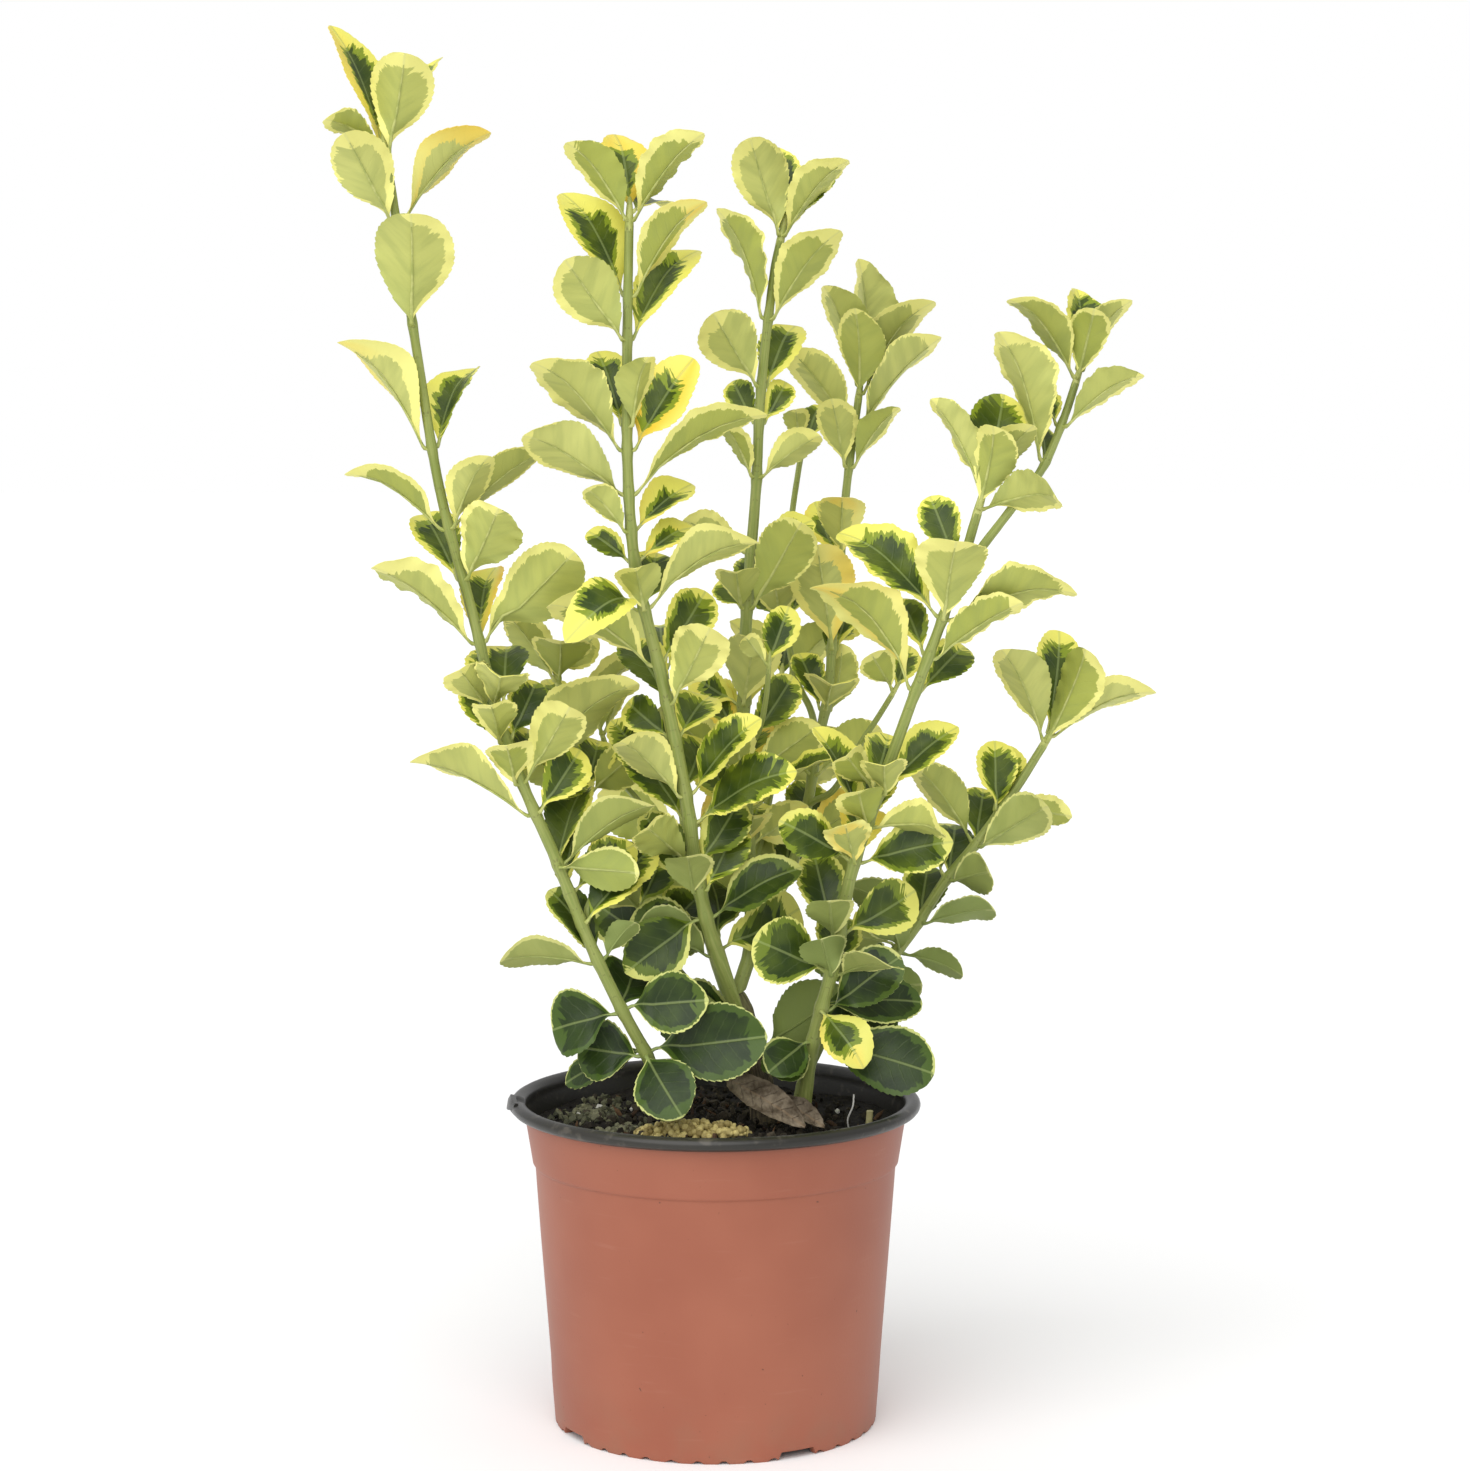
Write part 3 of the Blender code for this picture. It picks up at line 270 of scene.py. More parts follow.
def leaf_under_material():
    shading = Shading("leaf_underside", 0.62, 0.35)
    at = leaf_coordinates(shading)
    _, green = green_share(shading, at, 0.30, 0.42)
    yellow, orange = tone(244, 240, 142, 0.94), tone(251, 216, 84, 0.94)
    margin = leaf_margin(shading, at, yellow, orange, tone(220, 225, 146))
    pale = shading.noise(shading.joined(at.number, 0.0, 0.0), 1.7, 0.0)
    sage = shading.blend(pale, 0.35, 0.65, tone(184, 192, 88), tone(217, 220, 128))
    sage = shading.mix(at.age, sage, tone(150, 166, 92))
    blotches = shading.streaks((at.along, 0.3), (at.across, 0.1), at.number, 0.6)
    sage = shading.blend(blotches, 0.4, 0.7, sage, tone(150, 164, 88), 0.30)
    # Darker towards the base: partly the base's deeper green, partly painted shade where the leaf lies
    # close to its stem.
    sage = shading.mix(shading.ramp(at.reach, 0.1, 0.6, 0.32, 0.0), sage, tone(140, 156, 80))
    colour = shading.mix(green, margin, sage)
    midrib, side_veins = veins(shading, at)
    colour = shading.mix(shading.scaled(side_veins, 0.07), colour, tone(168, 180, 98))
    colour = shading.mix(shading.scaled(midrib, 0.35), colour, tone(228, 230, 160))
    grain = shading.noise(shading.place(), 1600.0)
    shading.bump(shading.plus(shading.scaled(side_veins, 0.35), shading.scaled(grain, 0.3)), 0.4, 0.0002)
    return shading.finish(colour, shading.ramp(grain, 0.3, 0.8, 0.54, 0.70))


def stem_material(name, green, bark):
    """Green twig bark that turns to brown wood where stem_co says so."""
    shading = Shading(name, 0.6, 0.4)
    along, around, wood = shading.parts(shading.attribute("stem_co"))
    streaks = shading.streaks((along, 0.05), (around, 2.6), 0.0, 1.0, 3.0)
    colour = shading.blend(streaks, 0.35, 0.65, green, shading.mix(0.45, green, tone(186, 190, 112)))
    spots = shading.streaks((along, 0.5), (around, 1.4), 3.0)
    colour = shading.blend(spots, 0.62, 0.72, colour, tone(112, 108, 62), 0.55)
    cracks = shading.streaks((along, 0.16), (around, 3.4), 7.0, 1.0, 4.0)
    rough_bark = shading.blend(cracks, 0.38, 0.62, bark, shading.mix(0.5, bark, tone(150, 136, 104)))
    colour = shading.blend(wood, 0.25, 0.75, colour, rough_bark)
    relief = shading.times(cracks, shading.scaled(wood, 2.0, 0.2))
    shading.bump(shading.plus(shading.scaled(streaks, 0.6), relief), 0.7, 0.0006)
    return shading.finish(colour, shading.ramp(wood, 0.0, 1.0, 0.48, 0.85))


def pot_material():
    """Terracotta plastic outside and black inside, as the lining value says, dusty and a little scuffed.
    Under the pot the same value also turns the foot's recess and the underside towards black: painted
    shade.
    """
    shading = Shading("pot_plastic", 0.45, 0.45)
    lining, _, _ = shading.parts(shading.attribute("lining"))
    place = shading.place()
    x, y, z = shading.parts(place)
    cloud = shading.noise(place, 14.0, 3.0)
    clay = shading.blend(cloud, 0.3, 0.7, tone(162, 92, 68), tone(172, 102, 77))
    dusty = shading.ramp(shading.noise(place, 60.0, 4.0), 0.4, 0.7)
    low_dust = shading.times(shading.ramp(z, 0.0, 0.035, 1.0, 0.0), dusty)
    clay = shading.mix(shading.scaled(low_dust, 0.35), clay, tone(150, 108, 84))
    pale = shading.streaks((x, 40.0), (y, 40.0), shading.scaled(z, 400.0), 1.0, 3.0)
    clay = shading.blend(pale, 0.62, 0.82, clay, tone(193, 138, 116), 0.14)
    specks = shading.noise(place, 420.0)
    clay = shading.blend(specks, 0.74, 0.80, clay, tone(96, 60, 46), 0.8)
    black = shading.blend(cloud, 0.3, 0.7, tone(31, 30, 26), tone(48, 46, 40))
    dust = shading.noise(place, 160.0, 3.0)
    black = shading.blend(dust, 0.56, 0.72, black, tone(104, 98, 88), 0.5)
    fine = shading.noise(place, 900.0, 3.0)
    shading.bump(shading.plus(shading.scaled(fine, 0.3), shading.scaled(cloud, 1.5)), 0.35, 0.0004)
    return shading.finish(shading.mix(lining, clay, black), shading.ramp(lining, 0.0, 1.0, 0.47, 0.33))


def crumb_material(name, dark, light, roughness):
    """A crumbly solid whose pieces each have a shade of their own."""
    shading = Shading(name, roughness, 0.25)
    shade, _, _ = shading.parts(shading.attribute("shade"))
    grain = shading.noise(shading.place(), 520.0, 4.0, 0.65)
    colour = shading.mix(shading.times(shade, shading.ramp(grain, 0.2, 0.7, 0.5, 1.0)), dark, light)
    shading.bump(grain, 0.9, 0.0009)
    return shading.finish(colour)


def withered_material():
    shading = Shading("withered_leaf", 0.8, 0.25)
    blotch = shading.noise(shading.place(), 160.0, 4.0, 0.6)
    colour = shading.blend(blotch, 0.3, 0.7, tone(84, 72, 56), tone(158, 144, 122))
    midrib, side_veins = veins(shading, leaf_coordinates(shading))
    colour = shading.mix(shading.scaled(midrib, 0.5), colour, tone(150, 128, 100))
    colour = shading.mix(shading.scaled(side_veins, 0.3), colour, tone(58, 46, 38))
    shading.bump(shading.plus(blotch, shading.scaled(side_veins, -0.5)), 0.8, 0.0008)
    return shading.finish(colour)


# Meshes.


def outline(rows):
    """The vertices round a grid of them, in order."""
    right, left = [row[-1] for row in rows[1:-1]], [row[0] for row in rows[-2:0:-1]]
    return rows[0] + right + rows[-1][::-1] + left


class MeshMaker:
    """Vertices in millimetres, faces with a material number each, and values at the vertices."""

    def __init__(self, *layers):
        self.points = []
        self.faces = []
        self.materials = []
        self.layers = {name: [] for name in layers}

    def vertex(self, point, **values):
        self.points.append((point[0] * MM, point[1] * MM, point[2] * MM))
        for name, made in self.layers.items():
            made.append(values.get(name, (0.0, 0.0, 0.0)))
        return len(self.points) - 1

    def face(self, *corners, material=0):
        self.faces.append(corners)
        self.materials.append(material)

    def strip(self, first, second, closed=True, material=0):
        """Quads between two rows of vertices."""
        count = len(first) if closed else len(first) - 1
        for i in range(count):
            j = (i + 1) % len(first)
            self.face(first[i], first[j], second[j], second[i], material=material)

    def tube(self, rings, material=0):
        """Strips between rings of vertices, and a face over each end."""
        for lower, upper in zip(rings, rings[1:]):
            self.strip(lower, upper, material=material)
        self.face(*reversed(rings[0]), material=material)
        self.face(*rings[-1], material=material)

    def sheet(self, top, bottom, under=0):
        """Both sides of a thin blade and the edge all round. Under is the underside's material."""
        for i in range(len(top) - 1):
            self.strip(top[i + 1], top[i], closed=False)
            self.strip(bottom[i], bottom[i + 1], closed=False, material=under)
        self.strip(outline(top), outline(bottom), material=under)

    def make(self, name, materials, slot, nodes=(), smooth_angle=50.0):
        mesh = bpy.data.meshes.new(name)
        mesh.from_pydata(self.points, [], self.faces)
        for index, polygon in enumerate(mesh.polygons):
            polygon.material_index = self.materials[index]
        for layer, values in self.layers.items():
            attribute = mesh.attributes.new(layer, "FLOAT_VECTOR", "POINT")
            attribute.data.foreach_set("vector", [part for value in values for part in value])
        for material in materials:
            mesh.materials.append(material)
        mesh.shade_smooth()
        mesh.set_sharp_from_angle(angle=math.radians(smooth_angle))
        mesh.update()
        piece = bpy.data.objects.new(name, mesh)
        bpy.context.scene.collection.objects.link(piece)
        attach(piece, "root")
        if nodes:
            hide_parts(*nodes)
        return piece


# The plant's own design, as in the frame.


FRONT = Vector((0, -1, 0))
SIGHT_HEIGHT = 431.0
SIGHT_DISTANCE = 1400.0
TABLE_COMPOST_LEVEL = 129.0
COMPOST_DROP = 12.0
COMPOST_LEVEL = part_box("pot")[1].z / MM - COMPOST_DROP
LEAF_MIDRIB_THICKNESS = 0.9
LEAF_EDGE_THICKNESS = 0.45
LEAF_FOLD = 13.0
LEAF_PROPORTION = 0.56
MOST_FORESHORTENED = 1.9
LEANS_BACK = 80.0
PETIOLE_WIDTH = 2.0
BLADE_WIDEST_AT = 0.57
PETIOLE_SHARE = 0.09
THICKET_GROWTH = 1.18
THICKET_LOW = 150.0
THICKET_HIGH = 350.0
COLLAR_WALL = 0.9
COLLAR_HEIGHT = 3.4
STEM_SIDES = 8
STEM_STATION_SPACING = 34.0
SOCKET_MARGIN = 12.0
CLEARANCE = 0.35
SEAT_GAP = 0.6


# One leaf of a whorl: where its tip is, seen from the stem, the width it shows from the front,
# and how far its middle bows up, as a share of its length. A turn in degrees sets how far its
# upper side is rolled to the front. Without one, the leaf rolls until it shows that width.
Leaf = namedtuple("Leaf", "x y z width turn bow", defaults=(None, 0.06))

# One stem: parent is None for a stem rooted in the compost, or the stem it grows on; seat is
# "side" or "top"; points run from the root or the parent's axis to the tip; whorls hold
# (height, leaves) groups that share one collar; tip lists the leaves at the growing tip.
Stem = namedtuple("Stem", "parent seat base_radius tip_radius points whorls tip", defaults=((), ()))

PLANT = {
    "woody_crown": Stem(
        None, "root", 6.0, 4.6,
        [(23, 6, 109), (18, 5, 150), (9, 4, 184)],
        whorls=[[(159, [Leaf(-30, 16, 20, 26), Leaf(34, 20, 18, 26), Leaf(17, -22, -4, 17, 20)])]],
    ),
    "left_stem": Stem(
        None, "root", 2.6, 1.7,
        [
            (-16, -12, 109), (-24, -18, 148), (-39, -26, 179), (-52, -32, 208),
            (-64, -37, 240), (-83, -43, 288), (-97, -47, 345), (-109, -50, 395),
            (-118, -52, 455), (-128, -54, 524),
        ],
        whorls=[
            [
                (159, [
                    Leaf(42, -12, 8, 28, 65), Leaf(-24, 6, 1, 22, 50),
                    Leaf(13, -22, -18, 22, 10), Leaf(-25, -14, -16, 13, 40),
                ]),
                (177, [Leaf(30, -8, 5, 22, 60), Leaf(-25, 6, -8, 25, 55), Leaf(4, 24, 12, 24)]),
                (198, [
                    Leaf(-33, -12, 3, 14), Leaf(-17, 4, 24, 13), Leaf(13, -8, 15, 9),
                    Leaf(-24, 16, 14, 15),
                ]),
            ],
            [(238, [Leaf(32, -14, 24, 13), Leaf(28, -4, -2, 16), Leaf(9, 20, 28, 15)])],
            [
                (260, [Leaf(-41, -8, 20, 13), Leaf(16, 24, 12, 16)]),
                (273, [Leaf(18, -18, 28, 20), Leaf(37, 6, 36, 18)]),
                (290, [Leaf(10, 16, 20, 15), Leaf(-13, 8, 21, 13)]),
                (305, [Leaf(4, -25, 14, 20), Leaf(-6, 24, 18, 18)]),
            ],
            [
                (331, [Leaf(-34, -12, 27, 16), Leaf(33, -10, 31, 25, None, 0.16), Leaf(3, 20, 26, 13)]),
                (357, [Leaf(16, -22, 29, 27), Leaf(-18, 22, 26, 18)]),
                (378, [Leaf(-38, -5, 25, 12), Leaf(16, -12, 30, 15), Leaf(36, 8, 31, 11)]),
            ],
            [(411, [Leaf(-32, -8, 44, 18), Leaf(14, 22, 34, 16)])],
            [(460, [Leaf(2, -22, 43, 34), Leaf(-3, 26, 36, 24)])],
            [(500, [Leaf(-20, -14, 34, 25), Leaf(34, 4, 37, 14)])],
        ],
        tip=[
            Leaf(9, -14, 40, 28), Leaf(-22, 8, 53, 12), Leaf(25, 10, 42, 8), Leaf(-15, -4, 26, 10),
        ],
    ),
    "mid_left_stem": Stem(
        "woody_crown", "side", 3.0, 1.7,
        [
            (9, 4, 178), (3, -3, 195), (-3, -9, 213), (-8, -17, 238), (-11, -25, 262),
            (-16, -34, 290), (-22, -42, 320), (-31, -51, 360), (-34, -57, 400),
            (-34, -61, 450), (-33, -63, 498),
        ],
        whorls=[
            [
                (201, [Leaf(-28, -10, 12, 22), Leaf(30, 14, 14, 24)]),
                (216, [Leaf(-31, 4, -14, 22, 55), Leaf(32, -10, 20, 15), Leaf(-15, 16, -16, 16)]),
                (228, [Leaf(-20, 8, 26, 16, 20), Leaf(10, 22, 14, 18)]),
            ],
            [
                (256, [Leaf(34, -12, 21, 15), Leaf(-27, 8, 35, 20, 20)]),
                (268, [Leaf(-22, -18, 22, 18), Leaf(25, -6, 27, 13)]),
            ],
            [
                (291, [Leaf(12, 14, 14, 18, 15), Leaf(-17, 10, 12, 13)]),
                (306, [Leaf(15, -18, 27, 21), Leaf(-14, 20, 20, 14)]),
            ],
            [
                (322, [Leaf(-35, -14, 24, 19), Leaf(16, 14, 24, 18)]),
                (345, [Leaf(-36, -8, -4, 16, None, 0.32), Leaf(38, -10, 24, 14, None, 0.12)]),
            ],
            [
                (364, [Leaf(23, 10, 15, 16, 30), Leaf(-19, 8, 12, 10)]),
                (377, [Leaf(24, 14, 18, 22, 20), Leaf(-17, -10, 18, 13)]),
            ],
            [(392, [Leaf(-40, -16, 25, 22), Leaf(54, -8, 32, 15, None, 0.12)])],
            [
                (410, [Leaf(-34, -14, 37, 21), Leaf(26, 2, 36, 21)]),
                (420, [Leaf(-12, 16, 30, 18), Leaf(8, -16, 28, 14)]),
            ],
            [
                (454, [Leaf(-24, -12, 31, 25), Leaf(25, 14, 38, 16)]),
                (471, [Leaf(28, -6, 38, 16), Leaf(-24, 10, 42, 18)]),
            ],
        ],
        tip=[Leaf(-22, -12, 33, 17), Leaf(28, -10, 36, 16), Leaf(-5, 14, 38, 17), Leaf(14, 14, 24, 12)],
    ),
    "middle_stem": Stem(
        "woody_crown", "top", 3.0, 1.7,
        [
            (9, 4, 184), (15, 7, 206), (14, 9, 240), (12, 12, 280), (12, 14, 320),
            (14, 16, 357), (17, 18, 395), (19, 20, 435), (24, 21, 480), (27, 21, 496),
        ],
        whorls=[
            [
                (247, [Leaf(2, -18, 14, 15), Leaf(21, 12, 12, 16)]),
                (262, [Leaf(37, -6, 22, 14, 25), Leaf(-16, 14, 18, 16)]),
            ],
            [(305, [Leaf(4, -20, 27, 22), Leaf(-19, 12, 10, 13)])],
            [
                (345, [Leaf(19, -16, 31, 22), Leaf(-10, 8, 10, 10)]),
                (368, [Leaf(-28, -8, 14, 15), Leaf(26, 10, 13, 12)]),
            ],
            [
                (399, [Leaf(26, -10, 18, 15), Leaf(-13, -6, 22, 10)]),
                (421, [Leaf(-11, 12, 18, 13), Leaf(12, 12, 18, 13)]),
                (436, [Leaf(-20, -14, 30, 27), Leaf(14, 20, 28, 18)]),
            ],
            [(464, [Leaf(28, -12, 37, 18), Leaf(-19, 3, 46, 14)])],
        ],
        tip=[Leaf(-13, -14, 42, 25), Leaf(26, -10, 34, 16), Leaf(-3, 14, 40, 20), Leaf(20, 12, 44, 12)],
    ),
    "mid_right_stem": Stem(
        "middle_stem", "side", 2.4, 1.6,
        [
            (15, 7, 206), (24, 15, 222), (33, 23, 240), (39, 31, 264), (43, 38, 287),
            (48, 45, 310), (50, 50, 334), (53, 55, 362), (56, 59, 395), (61, 61, 431),
        ],
        whorls=[
            [
                (303, [Leaf(2, -18, 12, 22), Leaf(-10, 12, 20, 12), Leaf(10, 12, 20, 12)]),
                (328, [Leaf(-6, -20, 40, 25), Leaf(10, 18, 24, 16)]),
            ],
            [(366, [Leaf(0, -20, 28, 21), Leaf(-11, 14, 24, 16)])],
            [
                (403, [Leaf(-8, -14, 30, 18), Leaf(15, -4, 30, 12)]),
                (419, [Leaf(-27, -10, 33, 20), Leaf(36, -6, 39, 16)]),
            ],
        ],
        tip=[Leaf(-2, -18, 38, 17), Leaf(27, -8, 44, 16), Leaf(-19, -8, 46, 16), Leaf(0, 14, 58, 20)],
    ),
    "right_stem": Stem(
        None, "root", 3.0, 1.8,
        [
            (34, -2, 109), (40, -9, 160), (49, -17, 198), (56, -25, 236), (67, -33, 270),
            (79, -41, 306), (90, -47, 338), (98, -51, 362), (104, -53, 384),
        ],
        whorls=[
            [
                (164, [
                    Leaf(42, -8, -10, 24, 55), Leaf(-16, -16, -8, 16, 30),
                    Leaf(30, 20, 8, 24, 40), Leaf(30, -18, -20, 14, 30),
                ]),
                (178, [Leaf(25, -6, 22, 20, 60), Leaf(14, -20, -16, 18, 30), Leaf(36, 12, 0, 16)]),
            ],
            [
                (193, [Leaf(-27, -8, 13, 24, 65), Leaf(34, -12, 8, 14)]),
                (209, [Leaf(-9, 12, 28, 18), Leaf(27, 10, 14, 20)]),
            ],
            [
                (240, [Leaf(33, -8, 8, 20, 55), Leaf(-26, -8, 15, 17, 60)]),
                (255, [Leaf(31, -14, 2, 15), Leaf(-18, -2, 34, 12)]),
                (269, [Leaf(-14, -14, 16, 14), Leaf(27, 6, 22, 13)]),
            ],
            [
                (311, [Leaf(-34, -12, 38, 17, None, 0.15), Leaf(18, 18, 14, 14)]),
                (325, [Leaf(31, -8, 19, 15), Leaf(-10, 12, 20, 11)]),
            ],
            [(341, [Leaf(3, -22, 28, 26), Leaf(43, 4, 14, 14), Leaf(-33, 8, 31, 17)])],
        ],
        tip=[
            Leaf(6, -18, 36, 17), Leaf(38, -8, 17, 19), Leaf(-6, -10, 25, 13),
            Leaf(12, 16, 48, 20), Leaf(-23, -2, 43, 11), Leaf(17, -8, 38, 15),
        ],
    ),
    "right_top_stem": Stem(
        "right_stem", "side", 1.8, 1.5,
        [
            (96.5, -50, 357), (108, -54, 373), (119, -54, 388),
            (130, -52, 403), (138, -49, 422), (143, -47, 437),
        ],
        whorls=[
            [
                (405, [Leaf(-19, -4, 52, 20), Leaf(6, 10, 22, 9)]),
                (420, [Leaf(30, -6, 22, 12), Leaf(-9, 10, 18, 9)]),
            ],
        ],
        tip=[Leaf(6, -14, 30, 17), Leaf(-22, -4, 38, 13), Leaf(19, -2, 34, 11), Leaf(2, 14, 38, 17)],
    ),
    "low_right_stem": Stem(
        None, "root", 2.9, 1.7,
        [
            (30, 16, 109), (39, 19, 152), (57, 22, 182), (80, 25, 206), (97, 28, 231),
            (112, 31, 249), (128, 34, 271), (139, 36, 288),
        ],
        whorls=[
            [
                (187, [Leaf(22, -6, 2, 15), Leaf(-14, 12, 16, 18)]),
                (203, [Leaf(23, -8, -8, 10), Leaf(-20, -8, 6, 11)]),
                (215, [Leaf(26, -12, 6, 12), Leaf(-25, 4, 12, 14)]),
            ],
            [
                (233, [Leaf(14, -14, 4, 16), Leaf(-8, 2, 16, 15, 40)]),
                (247, [Leaf(25, -14, 16, 19), Leaf(-22, -2, 29, 14)]),
                (260, [Leaf(2, 12, 25, 19), Leaf(26, 8, -1, 13)]),
            ],
        ],
        tip=[
            Leaf(-18, -12, 43, 20), Leaf(17, -12, 42, 19), Leaf(17, 12, 48, 25),
            Leaf(45, -4, 27, 13), Leaf(-16, 8, 27, 11),
        ],
    ),
    "left_inner_stem": Stem(
        "left_stem", "side", 1.8, 1.4,
        [(-54, -33, 213), (-48, -24, 232), (-50, -13, 252), (-56, -3, 279), (-61, 3, 298), (-65, 6, 313)],
        whorls=[[
            (268, [Leaf(-20, -14, 16, 16), Leaf(20, 10, 16, 16)]),
            (297, [Leaf(25, 6, 24, 9), Leaf(-8, 10, 16, 10)]),
        ]],
        tip=[Leaf(-20, -2, 30, 18), Leaf(2, -16, 21, 26), Leaf(15, 8, 20, 15)],
    ),
    "back_left_stem": Stem(
        "woody_crown", "side", 2.2, 1.5,
        [(10, 5, 169), (-1, 26, 200), (-11, 43, 240), (-17, 56, 280), (-22, 64, 318)],
        whorls=[[
            (222, [Leaf(-28, -4, 14, 22), Leaf(26, 6, 16, 22)]),
            (252, [Leaf(-32, 14, 12, 22), Leaf(30, 20, 16, 20)]),
            (286, [Leaf(6, 32, 18, 20), Leaf(-10, -22, 16, 16)]),
        ]],
        tip=[Leaf(-26, 12, 26, 18), Leaf(18, 16, 28, 16), Leaf(2, 30, 24, 18)],
    ),
    "back_right_stem": Stem(
        "middle_stem", "side", 2.0, 1.5,
        [(14, 9, 232), (20, 34, 254), (25, 54, 280), (28, 68, 312)],
        whorls=[[(275, [Leaf(30, 16, 12, 20), Leaf(-22, 24, 14, 18)])]],
        tip=[Leaf(24, 14, 26, 17), Leaf(-20, 18, 28, 16), Leaf(4, 32, 22, 18)],
    ),
}


Place = namedtuple("Place", "length point along across side")


def frame_at(length, point, along):
    """A place on a stem, with a direction across it to the front and one to its side."""
    across = (FRONT - along * FRONT.dot(along)).normalized()
    return Place(length, point, along, across, along.cross(across))


def bridge(bm, first, second):
    """Quads between two closed loops of vertices."""
    count = len(first)
    for i in range(count):
        j = (i + 1) % count
        bm.faces.new((first[i], first[j], second[j], second[i]))


class StemPath:
    """A smooth, tapering centre line, measured by the length from its lower end."""

    def __init__(self, points, base_radius, tip_radius):
        self.base_radius = base_radius
        self.tip_radius = tip_radius
        self.line = smooth_line([Vector(point) for point in points])
        self.lengths = [0.0]
        for start, end in zip(self.line, self.line[1:]):
            self.lengths.append(self.lengths[-1] + (end - start).length)
        self.total = self.lengths[-1]

    def radius(self, length):
        share = max(0.0, min(1.0, length / self.total))
        return self.base_radius + (self.tip_radius - self.base_radius) * share

    def place(self, length):
        """Where the stem is at a length, and which way it runs there."""
        i = 0
        while i < len(self.line) - 2 and self.lengths[i + 1] < length:
            i += 1
        share = (length - self.lengths[i]) / (self.lengths[i + 1] - self.lengths[i])
        point = self.line[i].lerp(self.line[i + 1], share)
        before = self.line[max(0, i - 1)]
        after = self.line[min(len(self.line) - 1, i + 2)]
        return frame_at(length, point, (after - before).normalized())

    def length_at(self, height):
        """The length at which the stem, which always climbs, reaches a height."""
        for i in range(len(self.line) - 1):
            low, high = self.line[i].z, self.line[i + 1].z
            if height <= high:
                share = max(0.0, (height - low) / (high - low))
                return self.lengths[i] + share * (self.lengths[i + 1] - self.lengths[i])
        return self.total

    def ring(self, bm, place, radius):
        """Vertices round the stem, the first one at the front."""
        made = []
        for k in range(STEM_SIDES):
            made.append(bm.verts.new(place.point + spoke(place, k) * radius))
        return made


def lifted(point):
    """A point of the plant's table in the pot's frame, as table_point has it in the frame's own
    design: below the sight line, what stands further forward really stands higher."""
    x, y, z = point
    z -= max(0.0, SIGHT_HEIGHT - z) * y / SIGHT_DISTANCE
    return Vector((x, y, z + COMPOST_LEVEL - TABLE_COMPOST_LEVEL))


def whorl_length(path, height):
    """The length at which a stem carries the whorl that has this height in the table."""
    length = path.length_at(lifted((0, 0, height)).z)
    for _ in range(3):
        forward = path.place(length).point.y
        length = path.length_at(lifted((0, forward, height)).z)
    return length


def tube_tree(path, sections):
    """A tube round the stem through (place, radius) sections, for clash tests."""
    bm = bmesh.new()
    rings = [path.ring(bm, place, radius) for place, radius in sections]
    for lower, upper in zip(rings, rings[1:]):
        bridge(bm, lower, upper)
    tree = BVHTree.FromBMesh(bm)
    bm.free()
    return tree


def spoke(place, k):
    """Direction from the stem's axis to corner k."""
    angle = math.tau * k / STEM_SIDES
    return place.across * math.cos(angle) + place.side * math.sin(angle)


def smooth_line(points, steps=8):
    """Points on a Catmull-Rom curve through the given ones."""
    ghost_start = points[0] * 2 - points[1]
    ghost_end = points[-1] * 2 - points[-2]
    padded = [ghost_start] + points + [ghost_end]
    line = []
    for i in range(len(points) - 1):
        a, b, c, d = padded[i:i + 4]
        for step in range(steps):
            t = step / steps
            line.append(
                0.5 * (2 * b + (c - a) * t + (2 * a - 5 * b + 4 * c - d) * t**2
                       + (3 * b - a - 3 * c + d) * t**3)
            )
    line.append(points[-1])
    return line


def seat_of(stem, parent, path):
    """The lowest cross-section of a stem: flat on its parent's side or top, or in its socket."""
    if stem.seat == "root":
        return path.place(0.0)
    if stem.seat == "top":
        top = parent.place(parent.total)
        return frame_at(0.0, top.point + top.along * CLEARANCE, top.along)
    at = parent.place(parent.length_at(path.line[0].z))
    outward = path.line[-1 if len(path.line) < 12 else 12] - at.point
    outward = (outward - at.along * outward.dot(at.along)).normalized()
    point = at.point + outward * (parent.radius(at.length) + SEAT_GAP)
    across = path.place(4.0).across
    across = (across - outward * across.dot(outward)).normalized()
    return Place(0.0, point, outward, across, outward.cross(across))


def free_length(stem, parent, path):
    """The length of a stem's second cross-section: clear of its parent's bark or its socket."""
    if stem.seat == "root":
        return path.length_at(COMPOST_LEVEL + SOCKET_MARGIN)
    if stem.seat == "top":
        return path.base_radius
    at = parent.place(parent.length_at(path.line[0].z))
    needed = parent.radius(at.length) + path.base_radius + 2 * SEAT_GAP
    length = 0.0
    while length < path.total:
        offset = path.place(length).point - at.point
        if (offset - at.along * offset.dot(at.along)).length > needed:
            return length
        length += 0.5
    return length


def stem_stations(stem, path, first):
    """Lengths of the cross-sections: both edges of every whorl, and enough in between."""
    fixed = [first, path.total]
    for group in stem.whorls:
        for height, _ in group:
            middle = whorl_length(path, height)
            fixed += [middle - COLLAR_HEIGHT / 2, middle + COLLAR_HEIGHT / 2]
    fixed.sort()
    stations = []
    for start, end in zip(fixed, fixed[1:]):
        parts = max(1, round((end - start) / STEM_STATION_SPACING))
        stations += [start + (end - start) * i / parts for i in range(parts)]
    return stations + [path.total]


def blade_half_width(share):
    """Half the blade's width as a share of the full width: a wedge-shaped base that widens
    past the middle, and a blunt tip."""
    if share <= 0 or share >= 1:
        return 0.0
    if share < BLADE_WIDEST_AT:
        return 0.5 * math.sin(math.pi / 2 * share / BLADE_WIDEST_AT)
    past = (share - BLADE_WIDEST_AT) / (1 - BLADE_WIDEST_AT)
    return 0.5 * math.cos(math.pi / 2 * past**1.12) ** 0.65


